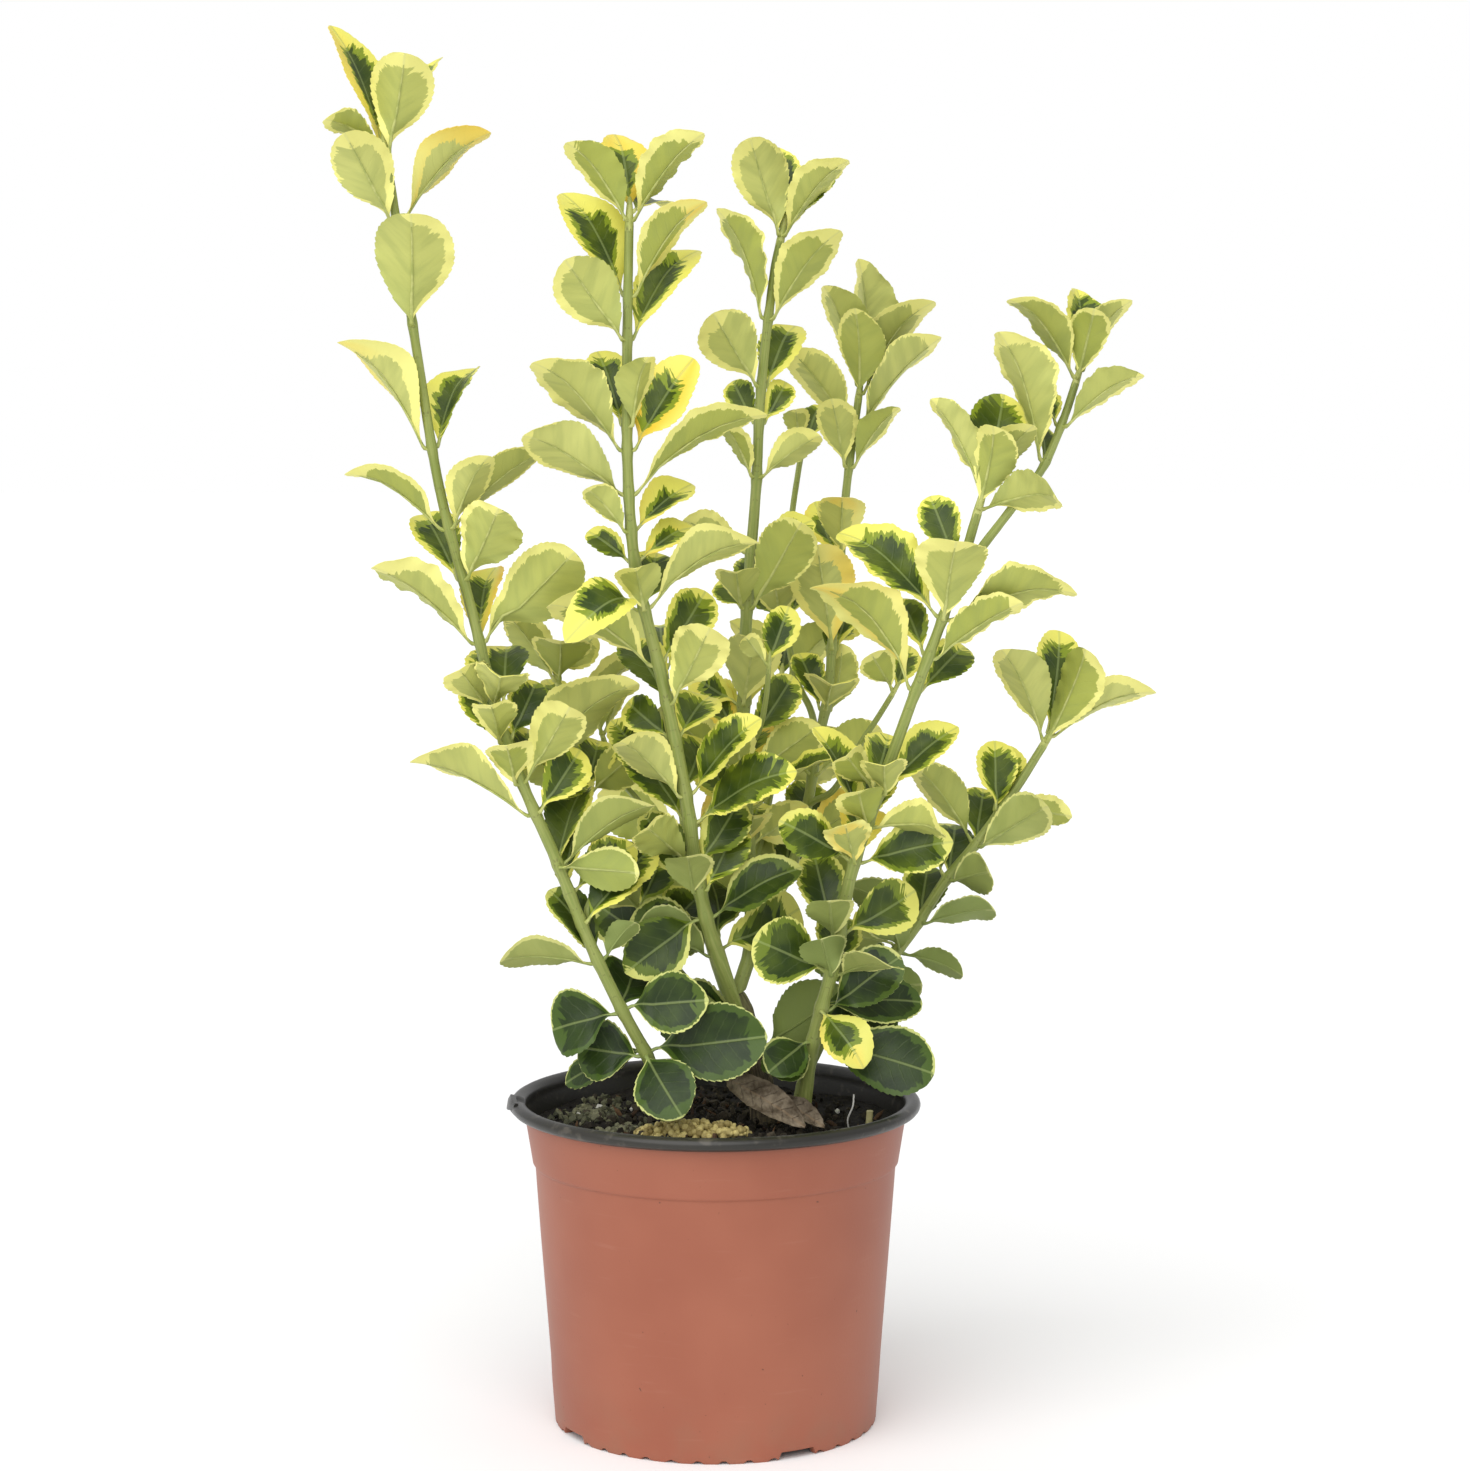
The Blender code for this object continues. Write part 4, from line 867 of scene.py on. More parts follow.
class Blade:
    """The middle surface of one leaf, from its root on the collar to its tip."""

    def __init__(self, leaf, root, tip, up):
        self.root = root
        self.chord = tip - root
        self.length = self.chord.length
        self.axis = self.chord / self.length
        self.rise = leaf.bow * self.length
        self.normal = (up - self.axis * up.dot(self.axis)).normalized()
        side = self.axis.cross(self.normal)
        toward_front = 1.0 if side.dot(FRONT) >= 0 else -1.0
        self.width = leaf.width
        if leaf.turn is None:
            shown = self.width
            self.width = min(max(shown, LEAF_PROPORTION * self.length), shown * MOST_FORESHORTENED)
            self.turn = self.natural_roll(shown / self.width) * toward_front
        else:
            self.turn = math.radians(leaf.turn) * toward_front

    def natural_roll(self, shown_share):
        """The roll that shows this share of the width: the underside of a leaf that leans
        forward or sideways, the upper side of one that leans back."""
        facing = (FRONT - self.axis * FRONT.dot(self.axis)).normalized()
        from_front = math.acos(max(-1.0, min(1.0, self.normal.dot(facing))))
        wanted = math.acos(min(1.0, shown_share))
        if from_front < math.radians(LEANS_BACK):
            return max(0.0, from_front - wanted)
        return min(0.0, from_front - (math.pi - wanted))

    def upper_side(self, share):
        """The upper side's direction: the turn is taken up over the leaf's first third."""
        eased = min(1.0, share / 0.33)
        angle = self.turn * eased * eased * (3 - 2 * eased)
        return self.normal * math.cos(angle) + self.axis.cross(self.normal) * math.sin(angle)

    def section(self, share, margin):
        """Six corners across the leaf: three on the upper side, three on the lower."""
        normal = self.upper_side(share)
        side = self.axis.cross(normal)
        arch = normal * (self.rise * 4 * share * (1 - share))
        middle = self.root + self.chord * share + arch
        blade_share = (share - PETIOLE_SHARE) / (1 - PETIOLE_SHARE)
        half = max(PETIOLE_WIDTH / 2, self.width * blade_half_width(blade_share))
        if share > 0.99:
            half = PETIOLE_WIDTH * 0.45
        fold = math.radians(LEAF_FOLD) * min(1.0, max(0.0, blade_share * 4))
        edge_out = side * (half * math.cos(fold) + margin)
        edge_up = normal * (half * math.sin(fold))
        thick = LEAF_MIDRIB_THICKNESS / 2 + margin
        thin = LEAF_EDGE_THICKNESS / 2 + margin
        if blade_share <= 0:
            thin = thick
        return [
            middle + edge_out + edge_up + normal * thin,
            middle + normal * thick,
            middle - edge_out + edge_up + normal * thin,
            middle - edge_out + edge_up - normal * thin,
            middle - normal * thick,
            middle + edge_out + edge_up - normal * thin,
        ]

    def shell(self, shares, margin):
        """A closed tube of sections, as vertices and faces for a clash test."""
        points = []
        for share in shares:
            points += self.section(share, margin)
        faces = []
        for i in range(len(shares) - 1):
            for j in range(6):
                k = (j + 1) % 6
                faces.append((i * 6 + j, i * 6 + k, i * 6 + 6 + k, i * 6 + 6 + j))
        faces.append(tuple(range(6)))
        faces.append(tuple(range(len(points) - 6, len(points))))
        return BVHTree.FromPolygons(points, faces)


def leaf_corners(place, leaves):
    """Which corner of the collar each leaf grows from: the nearest that leaves room."""
    taken = []
    for leaf in leaves:
        toward = Vector((leaf.x, leaf.y, leaf.z))
        angle = math.atan2(toward.dot(place.side), toward.dot(place.across))
        wish = angle / math.tau * STEM_SIDES
        order = sorted(range(STEM_SIDES), key=lambda k: abs((k - wish + 4) % 8 - 4))
        for k in order:
            if all(min((k - other) % 8, (other - k) % 8) >= 2 for other in taken):
                taken.append(k)
                break
    return taken


# Small moves tried in turn until a leaf is clear: swing round the stem, lift, and length.
MOVES = sorted(
    (
        (swing, lift, reach)
        for swing in (0, 6, -6, 12, -12, 18, -18, 25, -25, 33, -33, 42, -42)
        for lift in (0, 6, -6, 12, -12, 20, -20, 30, -30)
        for reach in (1.0, 0.92, 0.84, 0.74)
    ),
    key=lambda move: abs(move[0]) + abs(move[1]) * 1.3 + (1 - move[2]) * 260,
)


def moved(offset, place, swing, lift, reach):
    """A leaf tip's offset from the stem, turned a little."""
    turned = Matrix.Rotation(math.radians(swing), 3, place.along) @ offset
    level = place.along.cross(turned)
    if level.length > 0.001:
        turned = Matrix.Rotation(math.radians(-lift), 3, level.normalized()) @ turned
    return turned * reach


def settle(leaf, anchor, band, corner, radius, obstacles, own):
    """The leaf's blade, moved by the first of MOVES that keeps it clear of everything, with its
    shell and its stalk's. There are none of them for a leaf that has no room to grow."""
    root = band.point + spoke(band, corner) * radius
    offset = Vector((leaf.x, leaf.y, leaf.z))
    shares = (PETIOLE_SHARE, 0.34, 0.60, 0.86, 1.0)
    for swing, lift, reach in MOVES:
        tip = anchor + moved(offset, band, swing, lift, reach)
        blade = Blade(leaf, root, tip, band.along)
        shell = blade.shell(shares, CLEARANCE)
        petiole = blade.shell((0.03, PETIOLE_SHARE), CLEARANCE)
        if any(shell.overlap(other) for other in obstacles.values()):
            continue
        if any(petiole.overlap(tree) for key, tree in obstacles.items() if key not in own):
            continue
        return blade, shell, petiole
    return None


def full_whorl(height, leaves):
    """A whorl's leaves as they grow at this height of the table."""
    if not THICKET_LOW < height < THICKET_HIGH:
        return leaves
    if len(leaves) == 2:
        leaves = leaves + [Leaf(4, 20, 18, 17), Leaf(-4, -18, 15, 17)]
    grown = []
    for leaf in leaves:
        x, y, z, width = (THICKET_GROWTH * size for size in leaf[:4])
        grown.append(leaf._replace(x=x, y=y, z=z, width=width))
    return grown


class Whorls:
    """A collar round a stem with one or more whorls of leaves."""

    def __init__(self, name, path, group):
        self.name = name
        self.path = path
        self.bands = []
        for height, leaves in group:
            middle = path.place(whorl_length(path, height))
            edges = [path.place(middle.length + COLLAR_HEIGHT * side) for side in (-0.5, 0.5)]
            leaves = full_whorl(height, leaves)
            self.bands.append((middle, middle.point, edges, leaves, leaf_corners(middle, leaves)))

    def radius(self, place):
        return self.path.radius(place.length) + CLEARANCE + COLLAR_WALL

    def hull(self):
        """The collar without its leaves, for clash tests."""
        ends = (self.bands[0][2][0], self.bands[-1][2][1])
        return tube_tree(self.path, [(place, self.radius(place)) for place in ends])


class Tip:
    """The growing tip that stands on a stem's end, with its leaves in pairs up its side."""

    def __init__(self, name, path, leaves):
        self.name = name
        self.path = path
        end = path.place(path.total)
        pairs = [leaves[i:i + 2] for i in range(0, len(leaves), 2)]
        self.levels = [CLEARANCE]
        for _ in pairs:
            self.levels += [self.levels[-1] + 0.7, self.levels[-1] + 0.7 + COLLAR_HEIGHT * 0.8]
        self.places = [end._replace(point=end.point + end.along * level) for level in self.levels]
        self.bud = end.point + end.along * (self.levels[-1] + 5.0)
        self.bands = []
        for i, pair in enumerate(pairs):
            edges = self.places[1 + i * 2:3 + i * 2]
            middle = end._replace(point=(edges[0].point + edges[1].point) / 2)
            self.bands.append((middle, end.point, edges, pair, leaf_corners(middle, pair)))

    def radius(self, place):
        share = (place.point - self.places[0].point).length / (self.levels[-1] + 1)
        return (self.path.tip_radius + 0.5) * (1.0 - 0.35 * share)

    def hull(self):
        ends = (self.places[0], self.places[-1])
        return tube_tree(self.path, [(place, self.radius(place)) for place in ends])


# The pot.


POT_LOW, POT_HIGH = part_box("pot")
RIM_RADIUS = (POT_HIGH.x - POT_LOW.x) / 2 / MM
POT_HEIGHT = POT_HIGH.z / MM
COMPOST_LOW, COMPOST_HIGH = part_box("compost")
POT_WALL = 1.0
RIM_OVERHANG = 5.8
RIM_HEIGHT = 5.6
BEAD_HALF_WIDTH = 3.4
BEAD_HALF_HEIGHT = 2.8
BAND_HEIGHT = 22.0
BAND_TAPER = 3.6
BAND_STEP = 0.9
BODY_TAPER = 8.2
FOOT_HEIGHT = 5.0
FOOT_WIDTH = 3.6
NOTCH_HALF_ANGLE = 7.5
NOTCH_HEIGHT = 3.6
NOTCH_ANGLES = (30.0, 120.0, 210.0, 300.0)
CENTRE_PAD_RADIUS = 16.0
CENTRE_PAD_SLOPE = 4.0
POT_SIDES = 288
TEAR_ANGLE = 277.0
TORN_FROM = 181.0
TORN_TO = 192.5
TORN_STEPS = 12
# Outward and up from the rim's edge, round the torn strip's cross-section.
TORN_PROFILE = (
    (-2.6, 0.5), (-0.2, 1.0), (0.9, -0.9), (1.5, -4.6), (1.0, -4.7), (0.3, -1.5), (-2.6, -0.4),
)


def outer_radius(height):
    """The pot's outer radius below the rim."""
    step_height = POT_HEIGHT - RIM_HEIGHT - BAND_HEIGHT
    band_bottom = RIM_RADIUS - RIM_OVERHANG - BAND_TAPER
    if height >= step_height + 1.0:
        return band_bottom + BAND_TAPER * (height - step_height) / BAND_HEIGHT
    if height >= step_height:
        share = height - step_height
        return band_bottom - BAND_STEP * (1 - share * share * (3 - 2 * share))
    return band_bottom - BAND_STEP - BODY_TAPER * (step_height - height) / step_height


def pot_sections():
    """(radius, height, black share) down the outside from the rim's crest, and back up the inside. The
    black share is the lining, and painted shade in the recess under the foot.
    """
    crest = RIM_RADIUS - BEAD_HALF_WIDTH
    under_rim = POT_HEIGHT - RIM_HEIGHT
    step = under_rim - BAND_HEIGHT
    rows = []
    for i in range(9):
        angle = math.radians(90 - i * 22.5)
        height = POT_HEIGHT - BEAD_HALF_HEIGHT * (1 - math.sin(angle))
        rows.append((crest + BEAD_HALF_WIDTH * math.cos(angle), height, 1.0))
    rows += [
        (crest - 1.4, under_rim + 0.4, 1.0),
        (outer_radius(under_rim) + 0.4, under_rim - 0.1, 1.0),
        (outer_radius(under_rim - 0.8), under_rim - 0.9, 0.15),
        (outer_radius(under_rim - 1.4), under_rim - 1.6, 0.0),
    ]
    for above in (18, 13, 8, 4, 2.2, 1.2, 0.8, 0.5, 0.2, -0.4):
        height = step + above
        rows.append((outer_radius(height), height, 0.0))
    for height in (96, 86, 76, 64, 52, 40, 28, 17, 10, 6.5, 5.2, 4.2, 3.2, 2.2, 1.2, 0.5):
        rows.append((outer_radius(height), height, 0.0))
    foot = outer_radius(0)
    # From the foot's edge into the recess and over the underside, the colour turns towards black: painted
    # shade under the pot.
    return rows + [
        (foot - 0.25, 0.0, 0.0),
        (foot - FOOT_WIDTH + 0.3, 0.0, 0.1),
        (foot - FOOT_WIDTH, 0.6, 0.3),
        (foot - FOOT_WIDTH, FOOT_HEIGHT - 0.8, 0.6),
        (foot - FOOT_WIDTH - 0.8, FOOT_HEIGHT, 0.8),
        (CENTRE_PAD_RADIUS + CENTRE_PAD_SLOPE + 0.5, FOOT_HEIGHT, 0.8),
        (CENTRE_PAD_RADIUS, 0.2, 0.8),
        (CENTRE_PAD_RADIUS - 0.5, 0.0, 0.8),
    ]


def inside_sections():
    under_rim = POT_HEIGHT - RIM_HEIGHT
    step = under_rim - BAND_HEIGHT
    floor_top = FOOT_HEIGHT + POT_WALL
    rows = [(CENTRE_PAD_RADIUS - 0.5, POT_WALL, 1.0)]
    rows.append((CENTRE_PAD_RADIUS + CENTRE_PAD_SLOPE, floor_top, 1.0))
    for height in (floor_top, 40, 80, step - POT_WALL, step + 1.2, step + 8, step + 14, under_rim - 1.0):
        rows.append((outer_radius(height) - POT_WALL, height, 1.0))
    rows.append((outer_radius(under_rim) - 0.6, under_rim + 1.2, 1.0))
    rows.append((RIM_RADIUS - 6.6, POT_HEIGHT - 2.4, 1.0))
    rows.append((RIM_RADIUS - 5.6, POT_HEIGHT - 0.9, 1.0))
    return rows


def around(angle, centre):
    """Signed degrees from centre to angle."""
    return (angle - centre + 180) % 360 - 180


def notch_depth(angle):
    """How far the foot's lower edge is lifted at an angle: four notches and the scallops between."""
    deep = 0.0
    for centre in NOTCH_ANGLES:
        off = abs(around(angle, centre - 90))
        if off < NOTCH_HALF_ANGLE:
            deep = max(deep, NOTCH_HEIGHT * min(1.0, (NOTCH_HALF_ANGLE - off) / 0.9))
        elif off > NOTCH_HALF_ANGLE + 2.0:
            scallop = 0.5 + 0.5 * math.cos(math.radians(off * 40))
            deep = max(deep, 1.4 * min(1.0, max(0.0, scallop - 0.72) / 0.18))
    return deep


def rim_damage(angle, radius, height):
    """The rim's torn left end: the bead is nicked, and its torn edge is bent down and out."""
    off = around(angle, TEAR_ANGLE - 90)
    if height < POT_HEIGHT - RIM_HEIGHT or abs(off) > 6:
        return radius, height
    nick = max(0.0, 1 - (off / 1.1) ** 2)
    bend = max(0.0, 1 - ((off + 2.6) / 2.6) ** 2)
    radius = radius - 1.2 * nick + 0.25 * bend
    return min(radius, RIM_RADIUS), height - 2.2 * nick - 1.2 * bend


def make_pot():
    """A thin moulded shell. Its rim is a rolled bead that stays slightly uneven."""
    maker = MeshMaker("lining")
    rings = []
    foot_inside = outer_radius(0) - FOOT_WIDTH
    sections = [(row, True) for row in pot_sections()] + [(row, False) for row in inside_sections()]
    for (radius, height, lining), outside in sections:
        ring = []
        for k in range(POT_SIDES):
            angle = 360 * k / POT_SIDES
            turn = math.radians(angle)
            wave = noise.noise(Vector((math.cos(turn) * 1.6, math.sin(turn) * 1.6, height * 0.02)))
            reach, level = radius, height
            if outside and height < NOTCH_HEIGHT + 2.0 and radius > foot_inside - 0.1:
                level = max(height, notch_depth(angle) * (1 - 0.02 * height))
            if height > 20:
                reach = radius - 0.25 - 0.25 * wave
            reach, level = rim_damage(angle, reach, level)
            point = (reach * math.cos(turn), reach * math.sin(turn), level)
            ring.append(maker.vertex(point, lining=(lining, 0, 0)))
        rings.append(ring)
    base = len(pot_sections()) - 1
    for i, (ring, following) in enumerate(zip(rings, rings[1:])):
        if i != base:
            maker.strip(following, ring)
    maker.strip(rings[0], rings[-1])
    # The underside's centre is darkened towards black: painted shade.
    under = maker.vertex((0, 0, 0), lining=(0.8, 0, 0))
    over = maker.vertex((0, 0, POT_WALL), lining=(1, 0, 0))
    for i in range(POT_SIDES):
        j = (i + 1) % POT_SIDES
        maker.face(under, rings[base][j], rings[base][i])
        maker.face(over, rings[base + 1][i], rings[base + 1][j])
    add_torn_strip(maker)
    maker.make("pot_shell", [pot_material()], "pot", nodes=["pot"])


def add_torn_strip(maker):
    """The strip of the rim that is split off at its left end: it stands out and droops."""
    rows = []
    for i in range(TORN_STEPS + 1):
        share = i / TORN_STEPS
        turn = math.radians(TORN_FROM + (TORN_TO - TORN_FROM) * share)
        free = math.sin(math.pi * min(1.0, 1.15 * (1 - share)) / 2)
        jag = 0.5 * noise.noise(Vector((share * 9, 0.4, 2.0)))
        row = []
        for reach, level in TORN_PROFILE:
            out = RIM_RADIUS - 1.4 + reach * (0.5 + 0.5 * free) + 1.1 * free
            ragged = level + (jag if level < -4 else 0.4 * jag)
            height = POT_HEIGHT + ragged * (0.45 + 0.55 * free)
            point = (out * math.cos(turn), out * math.sin(turn), height)
            row.append(maker.vertex(point, lining=(1, 0, 0)))
        rows.append(row)
    maker.tube(rows)


# The compost and what lies on it.


COMPOST_BASE = 7.0
COMPOST_SIDES = 160
COMPOST_RINGS = 41


def ground(x, y):
    """Height of the compost's smooth surface, as the frame has it."""
    bump = noise.noise(Vector((x * 0.06, y * 0.06, 0.7)))
    return COMPOST_LEVEL + 1.2 * max(-1.0, min(1.0, 2.0 * bump))


def rough_ground(x, y):
    lumps = 0.9 * noise.noise(Vector((x * 0.22, y * 0.22, 3.0)))
    crumbs = 0.7 * noise.noise(Vector((x * 0.7, y * 0.7, 5.0)))
    return ground(x, y) + lumps + crumbs


def make_compost():
    """The whole root ball: a plain block in the pot with a rough top."""
    maker = MeshMaker("shade")
    edge = (COMPOST_HIGH.x - COMPOST_LOW.x) / 2 / MM - 0.2
    sections = [(CENTRE_PAD_RADIUS, COMPOST_BASE)]
    sections.append((outer_radius(COMPOST_BASE) - 1.5, COMPOST_BASE))
    sections.append((outer_radius(100) - 1.5, 100.0))
    sections += [(edge * (1 - i / COMPOST_RINGS), None) for i in range(COMPOST_RINGS)]
    rings = []
    for radius, height in sections:
        ring = []
        for k in range(COMPOST_SIDES):
            turn = math.tau * k / COMPOST_SIDES
            x, y = radius * math.cos(turn), radius * math.sin(turn)
            level = rough_ground(x, y) if height is None else height
            shade = 0.35 + 0.6 * noise.noise(Vector((x * 0.3, y * 0.3, 9.0)))
            ring.append(maker.vertex((x, y, level), shade=(max(0.0, shade), 0, 0)))
        rings.append(ring)
    for lower, upper in zip(rings, rings[1:]):
        maker.strip(lower, upper)
    top = maker.vertex((0, 0, rough_ground(0, 0)), shade=(0.3, 0, 0))
    base = maker.vertex((0, 0, COMPOST_BASE), shade=(0.3, 0, 0))
    for k in range(COMPOST_SIDES):
        following = (k + 1) % COMPOST_SIDES
        maker.face(rings[-1][k], rings[-1][following], top)
        maker.face(rings[0][following], rings[0][k], base)
    soil = crumb_material("compost", tone(14, 13, 11), tone(56, 50, 42), 0.95)
    maker.make("compost_bed", [soil], "compost", nodes=["compost"], smooth_angle=70)


def ball_shape(subdivisions):
    """Corners and faces of a ball of radius 1."""
    ball = bmesh.new()
    bmesh.ops.create_icosphere(ball, subdivisions=subdivisions, radius=1.0)
    corners = [vert.co.copy() for vert in ball.verts]
    faces = [[vert.index for vert in face.verts] for face in ball.faces]
    ball.free()
    return corners, faces


COARSE_BALL = ball_shape(1)
FINE_BALL = ball_shape(2)
CRUMBS_REACH = 72.0
# x, y and radius of the larger perlite grains.
PERLITE_PLACES = (
    (-49, 25, 2.3), (-58, 12, 1.3), (-36, 30, 1.1), (52, 22, 1.2), (20, 48, 1.4), (-20, -22, 1.2),
)


def add_lump(maker, rng, middle, size, shade, ball=COARSE_BALL, uneven=0.32):
    """A crumb, chip or bead: a ball pulled out of shape and turned at random."""
    turned = Euler((rng.uniform(0, 6), rng.uniform(0, 6), rng.uniform(0, 6))).to_matrix()
    start = len(maker.points)
    corners, faces = ball
    for x, y, z in corners:
        pull = 1.0 + rng.uniform(-uneven, uneven)
        placed = turned @ Vector((x * size[0], y * size[1], z * size[2])) * pull
        maker.vertex(placed + middle, shade=(shade, 0, 0))
    for face in faces:
        maker.face(*[start + index for index in face])


def scatter(maker, rng, count, spot, spread, size_range, flatness, shade_range, uneven=0.32):
    """Lumps about a spot, lying on the compost. Spread is the half width of the patch in x, y."""
    made = 0
    while made < count:
        x = spot[0] + rng.gauss(0, 0.5) * spread[0]
        y = spot[1] + rng.gauss(0, 0.5) * spread[1]
        if math.hypot(x, y) > CRUMBS_REACH:
            continue
        size = rng.uniform(*size_range)
        shape = (size, size * rng.uniform(0.6, 1.0), size * rng.uniform(flatness, 1.0))
        middle = Vector((x, y, ground(x, y) + size * rng.uniform(0.15, 0.7)))
        add_lump(maker, rng, middle, shape, rng.uniform(*shade_range), uneven=uneven)
        made += 1


def lay_crumbs(maker, name, material, dark, light, roughness):
    """Loose pieces on the compost, with a material of their own from dark to light."""
    look = crumb_material(material, tone(*dark), tone(*light), roughness)
    maker.make(name, [look], "compost", smooth_angle=30)


def make_crumbs():
    rng = random.Random(11)
    crumbs = MeshMaker("shade")
    scatter(crumbs, rng, 900, (0, 0), (78, 78), (0.5, 1.7), 0.5, (0.0, 0.6))
    scatter(crumbs, rng, 260, (0, 0), (80, 80), (1.2, 2.8), 0.3, (0.1, 1.0))
    lay_crumbs(crumbs, "compost_crumbs", "compost_crumb", (16, 15, 12), (86, 78, 64), 0.95)
    chips = MeshMaker("shade")
    for _ in range(90):
        x, y = rng.gauss(0, 34), rng.gauss(0, 34)
        if math.hypot(x, y) < CRUMBS_REACH:
            long = rng.uniform(2.0, 5.0)
            middle = Vector((x, y, ground(x, y) + 0.8))
            add_lump(chips, rng, middle, (long, long * 0.28, long * 0.16), rng.uniform(0.1, 1.0))
    lay_crumbs(chips, "bark_chips", "bark_chip", (38, 28, 22), (128, 98, 70), 0.9)
    pale = MeshMaker("shade")
    for x, y, size in PERLITE_PLACES:
        add_lump(pale, rng, Vector((x, y, ground(x, y) + size * 0.6)), (size, size, size), 0.9)
    lay_crumbs(pale, "perlite_grains", "perlite", (176, 172, 160), (238, 236, 228), 0.85)
    green = MeshMaker("shade")
    scatter(green, rng, 150, (-52, 18), (17, 24), (1.1, 2.3), 0.6, (0.0, 0.8))
    scatter(green, rng, 50, (-34, -12), (12, 12), (1.1, 2.2), 0.6, (0.2, 1.0))
    lay_crumbs(green, "mineral_grit", "mineral_grit", (70, 72, 54), (158, 156, 124), 0.85)


def make_granules():
    """Loose beads of fertiliser, heaped where the frame has their patch."""
    rng = random.Random(5)
    low, high = (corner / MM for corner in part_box("fertiliser_granules"))
    middle, half = (low + high) / 2, (high - low) / 2
    beads = MeshMaker("shade")
    for _ in range(330):
        angle, reach = rng.uniform(0, math.tau), math.sqrt(rng.random())
        x = middle.x + half.x * 0.98 * reach * math.cos(angle)
        y = middle.y + half.y * 0.98 * reach * math.sin(angle)
        size = rng.uniform(1.0, 1.75)
        heap = (high.z - low.z) * (1 - reach * reach) ** 0.5
        z = low.z + rng.uniform(0.2, 1.0) * heap
        shape = (size, size, size * rng.uniform(0.8, 1.0))
        add_lump(beads, rng, Vector((x, y, z)), shape, rng.random(), FINE_BALL, 0.06)
    coat = crumb_material("granule_coat", tone(150, 132, 78), tone(238, 220, 144), 0.5)
    beads.make("fertiliser_beads", [coat], "granule", nodes=["fertiliser_granules"])


# Looks of the plant.


UNDERSIDE = 1
STALK = 2
NUMBER_STEP = 3.7
TEETH_PITCH = 2.8
STALK_SHARE = 0.04
COLUMNS = (-1.0, -0.93, -0.74, -0.5, -0.26, -0.09, 0.09, 0.26, 0.5, 0.74, 0.93, 1.0)


def leaf_rows(length):
    """(share of the blade, how far the margin stands out in mm): three rows to a tooth."""
    teeth = max(6, round(length * 0.82 / TEETH_PITCH))
    rows = [(0.0, 0.0), (0.035, 0.0), (0.08, 0.0)]
    for i in range(teeth):
        for part, out in ((0.0, 0.0), (0.45, 0.36), (0.85, 0.58)):
            rows.append((0.12 + 0.86 * (i + part) / teeth, out))
    return rows + [(0.992, 0.0), (1.0, 0.0)]


# Where leaves are yellow for most of their width: x and height in the plant's table.
YELLOW_PLACES = (
    (12, 255), (25, 254), (-17, 382), (-16, 237), (-1, 308), (20, 288), (-95, 346), (-104, 517),
    (-17, 494), (-18, 432), (-130, 437), (-141, 556), (-36, 521), (48, 345), (50, 381), (62, 279),
    (78, 215), (72, 204), (56, 258), (-62, 214), (-70, 212), (52, 164),
)
YELLOW_REACH = 5.5
OPEN_GROWTH_HEIGHT = 330.0
OPEN_GROWTH_REACH = 9.0


def yellowness(rng, middle):
    """How much of a leaf is yellow, 0 to 1."""
    usual = min(0.75, max(0.0, rng.gauss(0.28, 0.24)))
    height = middle.z + TABLE_COMPOST_LEVEL - COMPOST_LEVEL
    near = min(math.hypot(middle.x - x, height - z) for x, z in YELLOW_PLACES)
    reach = OPEN_GROWTH_REACH if height > OPEN_GROWTH_HEIGHT else YELLOW_REACH
    return 0.96 if near < reach else usual


class LeafLook:
    """How one leaf differs from the next."""

    def __init__(self, rng, middle, number):
        height = middle.z
        self.number = number
        self.age = max(0.0, min(1.0, (252.0 - height + rng.uniform(-30, 30)) / 62.0))
        self.yellow = yellowness(rng, middle)
        if self.yellow > 0.9:
            self.age *= 0.3
        self.lean = rng.choice((-1, 1)) * rng.uniform(0.0, 0.26) * (1 - 0.8 * self.age)
        self.widest = rng.uniform(0.54, 0.66)
        self.wedge = rng.uniform(0.95, 1.25) - 0.2 * self.age
        self.blunt = rng.uniform(0.48, 0.68)
        self.fold = math.radians(rng.uniform(13.0, 29.0) * (1 - 0.35 * self.age))
        self.cup = rng.uniform(0.5, 1.5)
        self.wave = rng.uniform(0.04, 0.14)
        self.crimp = rng.uniform(0.0, 0.07) * (1 - 0.6 * self.age)
        self.phase = rng.uniform(0, math.tau)
        self.curl = rng.uniform(0.01, 0.13) * (1 - 0.5 * self.age)
        self.twist = rng.uniform(-0.14, 0.14)


def half_width(look, share):
    """A wedge-shaped base that widens past the leaf's middle, and a blunt tip."""
    if share <= 0 or share >= 1:
        return 0.0
    if share < look.widest:
        return 0.5 * math.sin(math.pi / 2 * share / look.widest) ** look.wedge
    past = (share - look.widest) / (1 - look.widest)
    return 0.5 * math.cos(math.pi / 2 * past**1.12) ** look.blunt


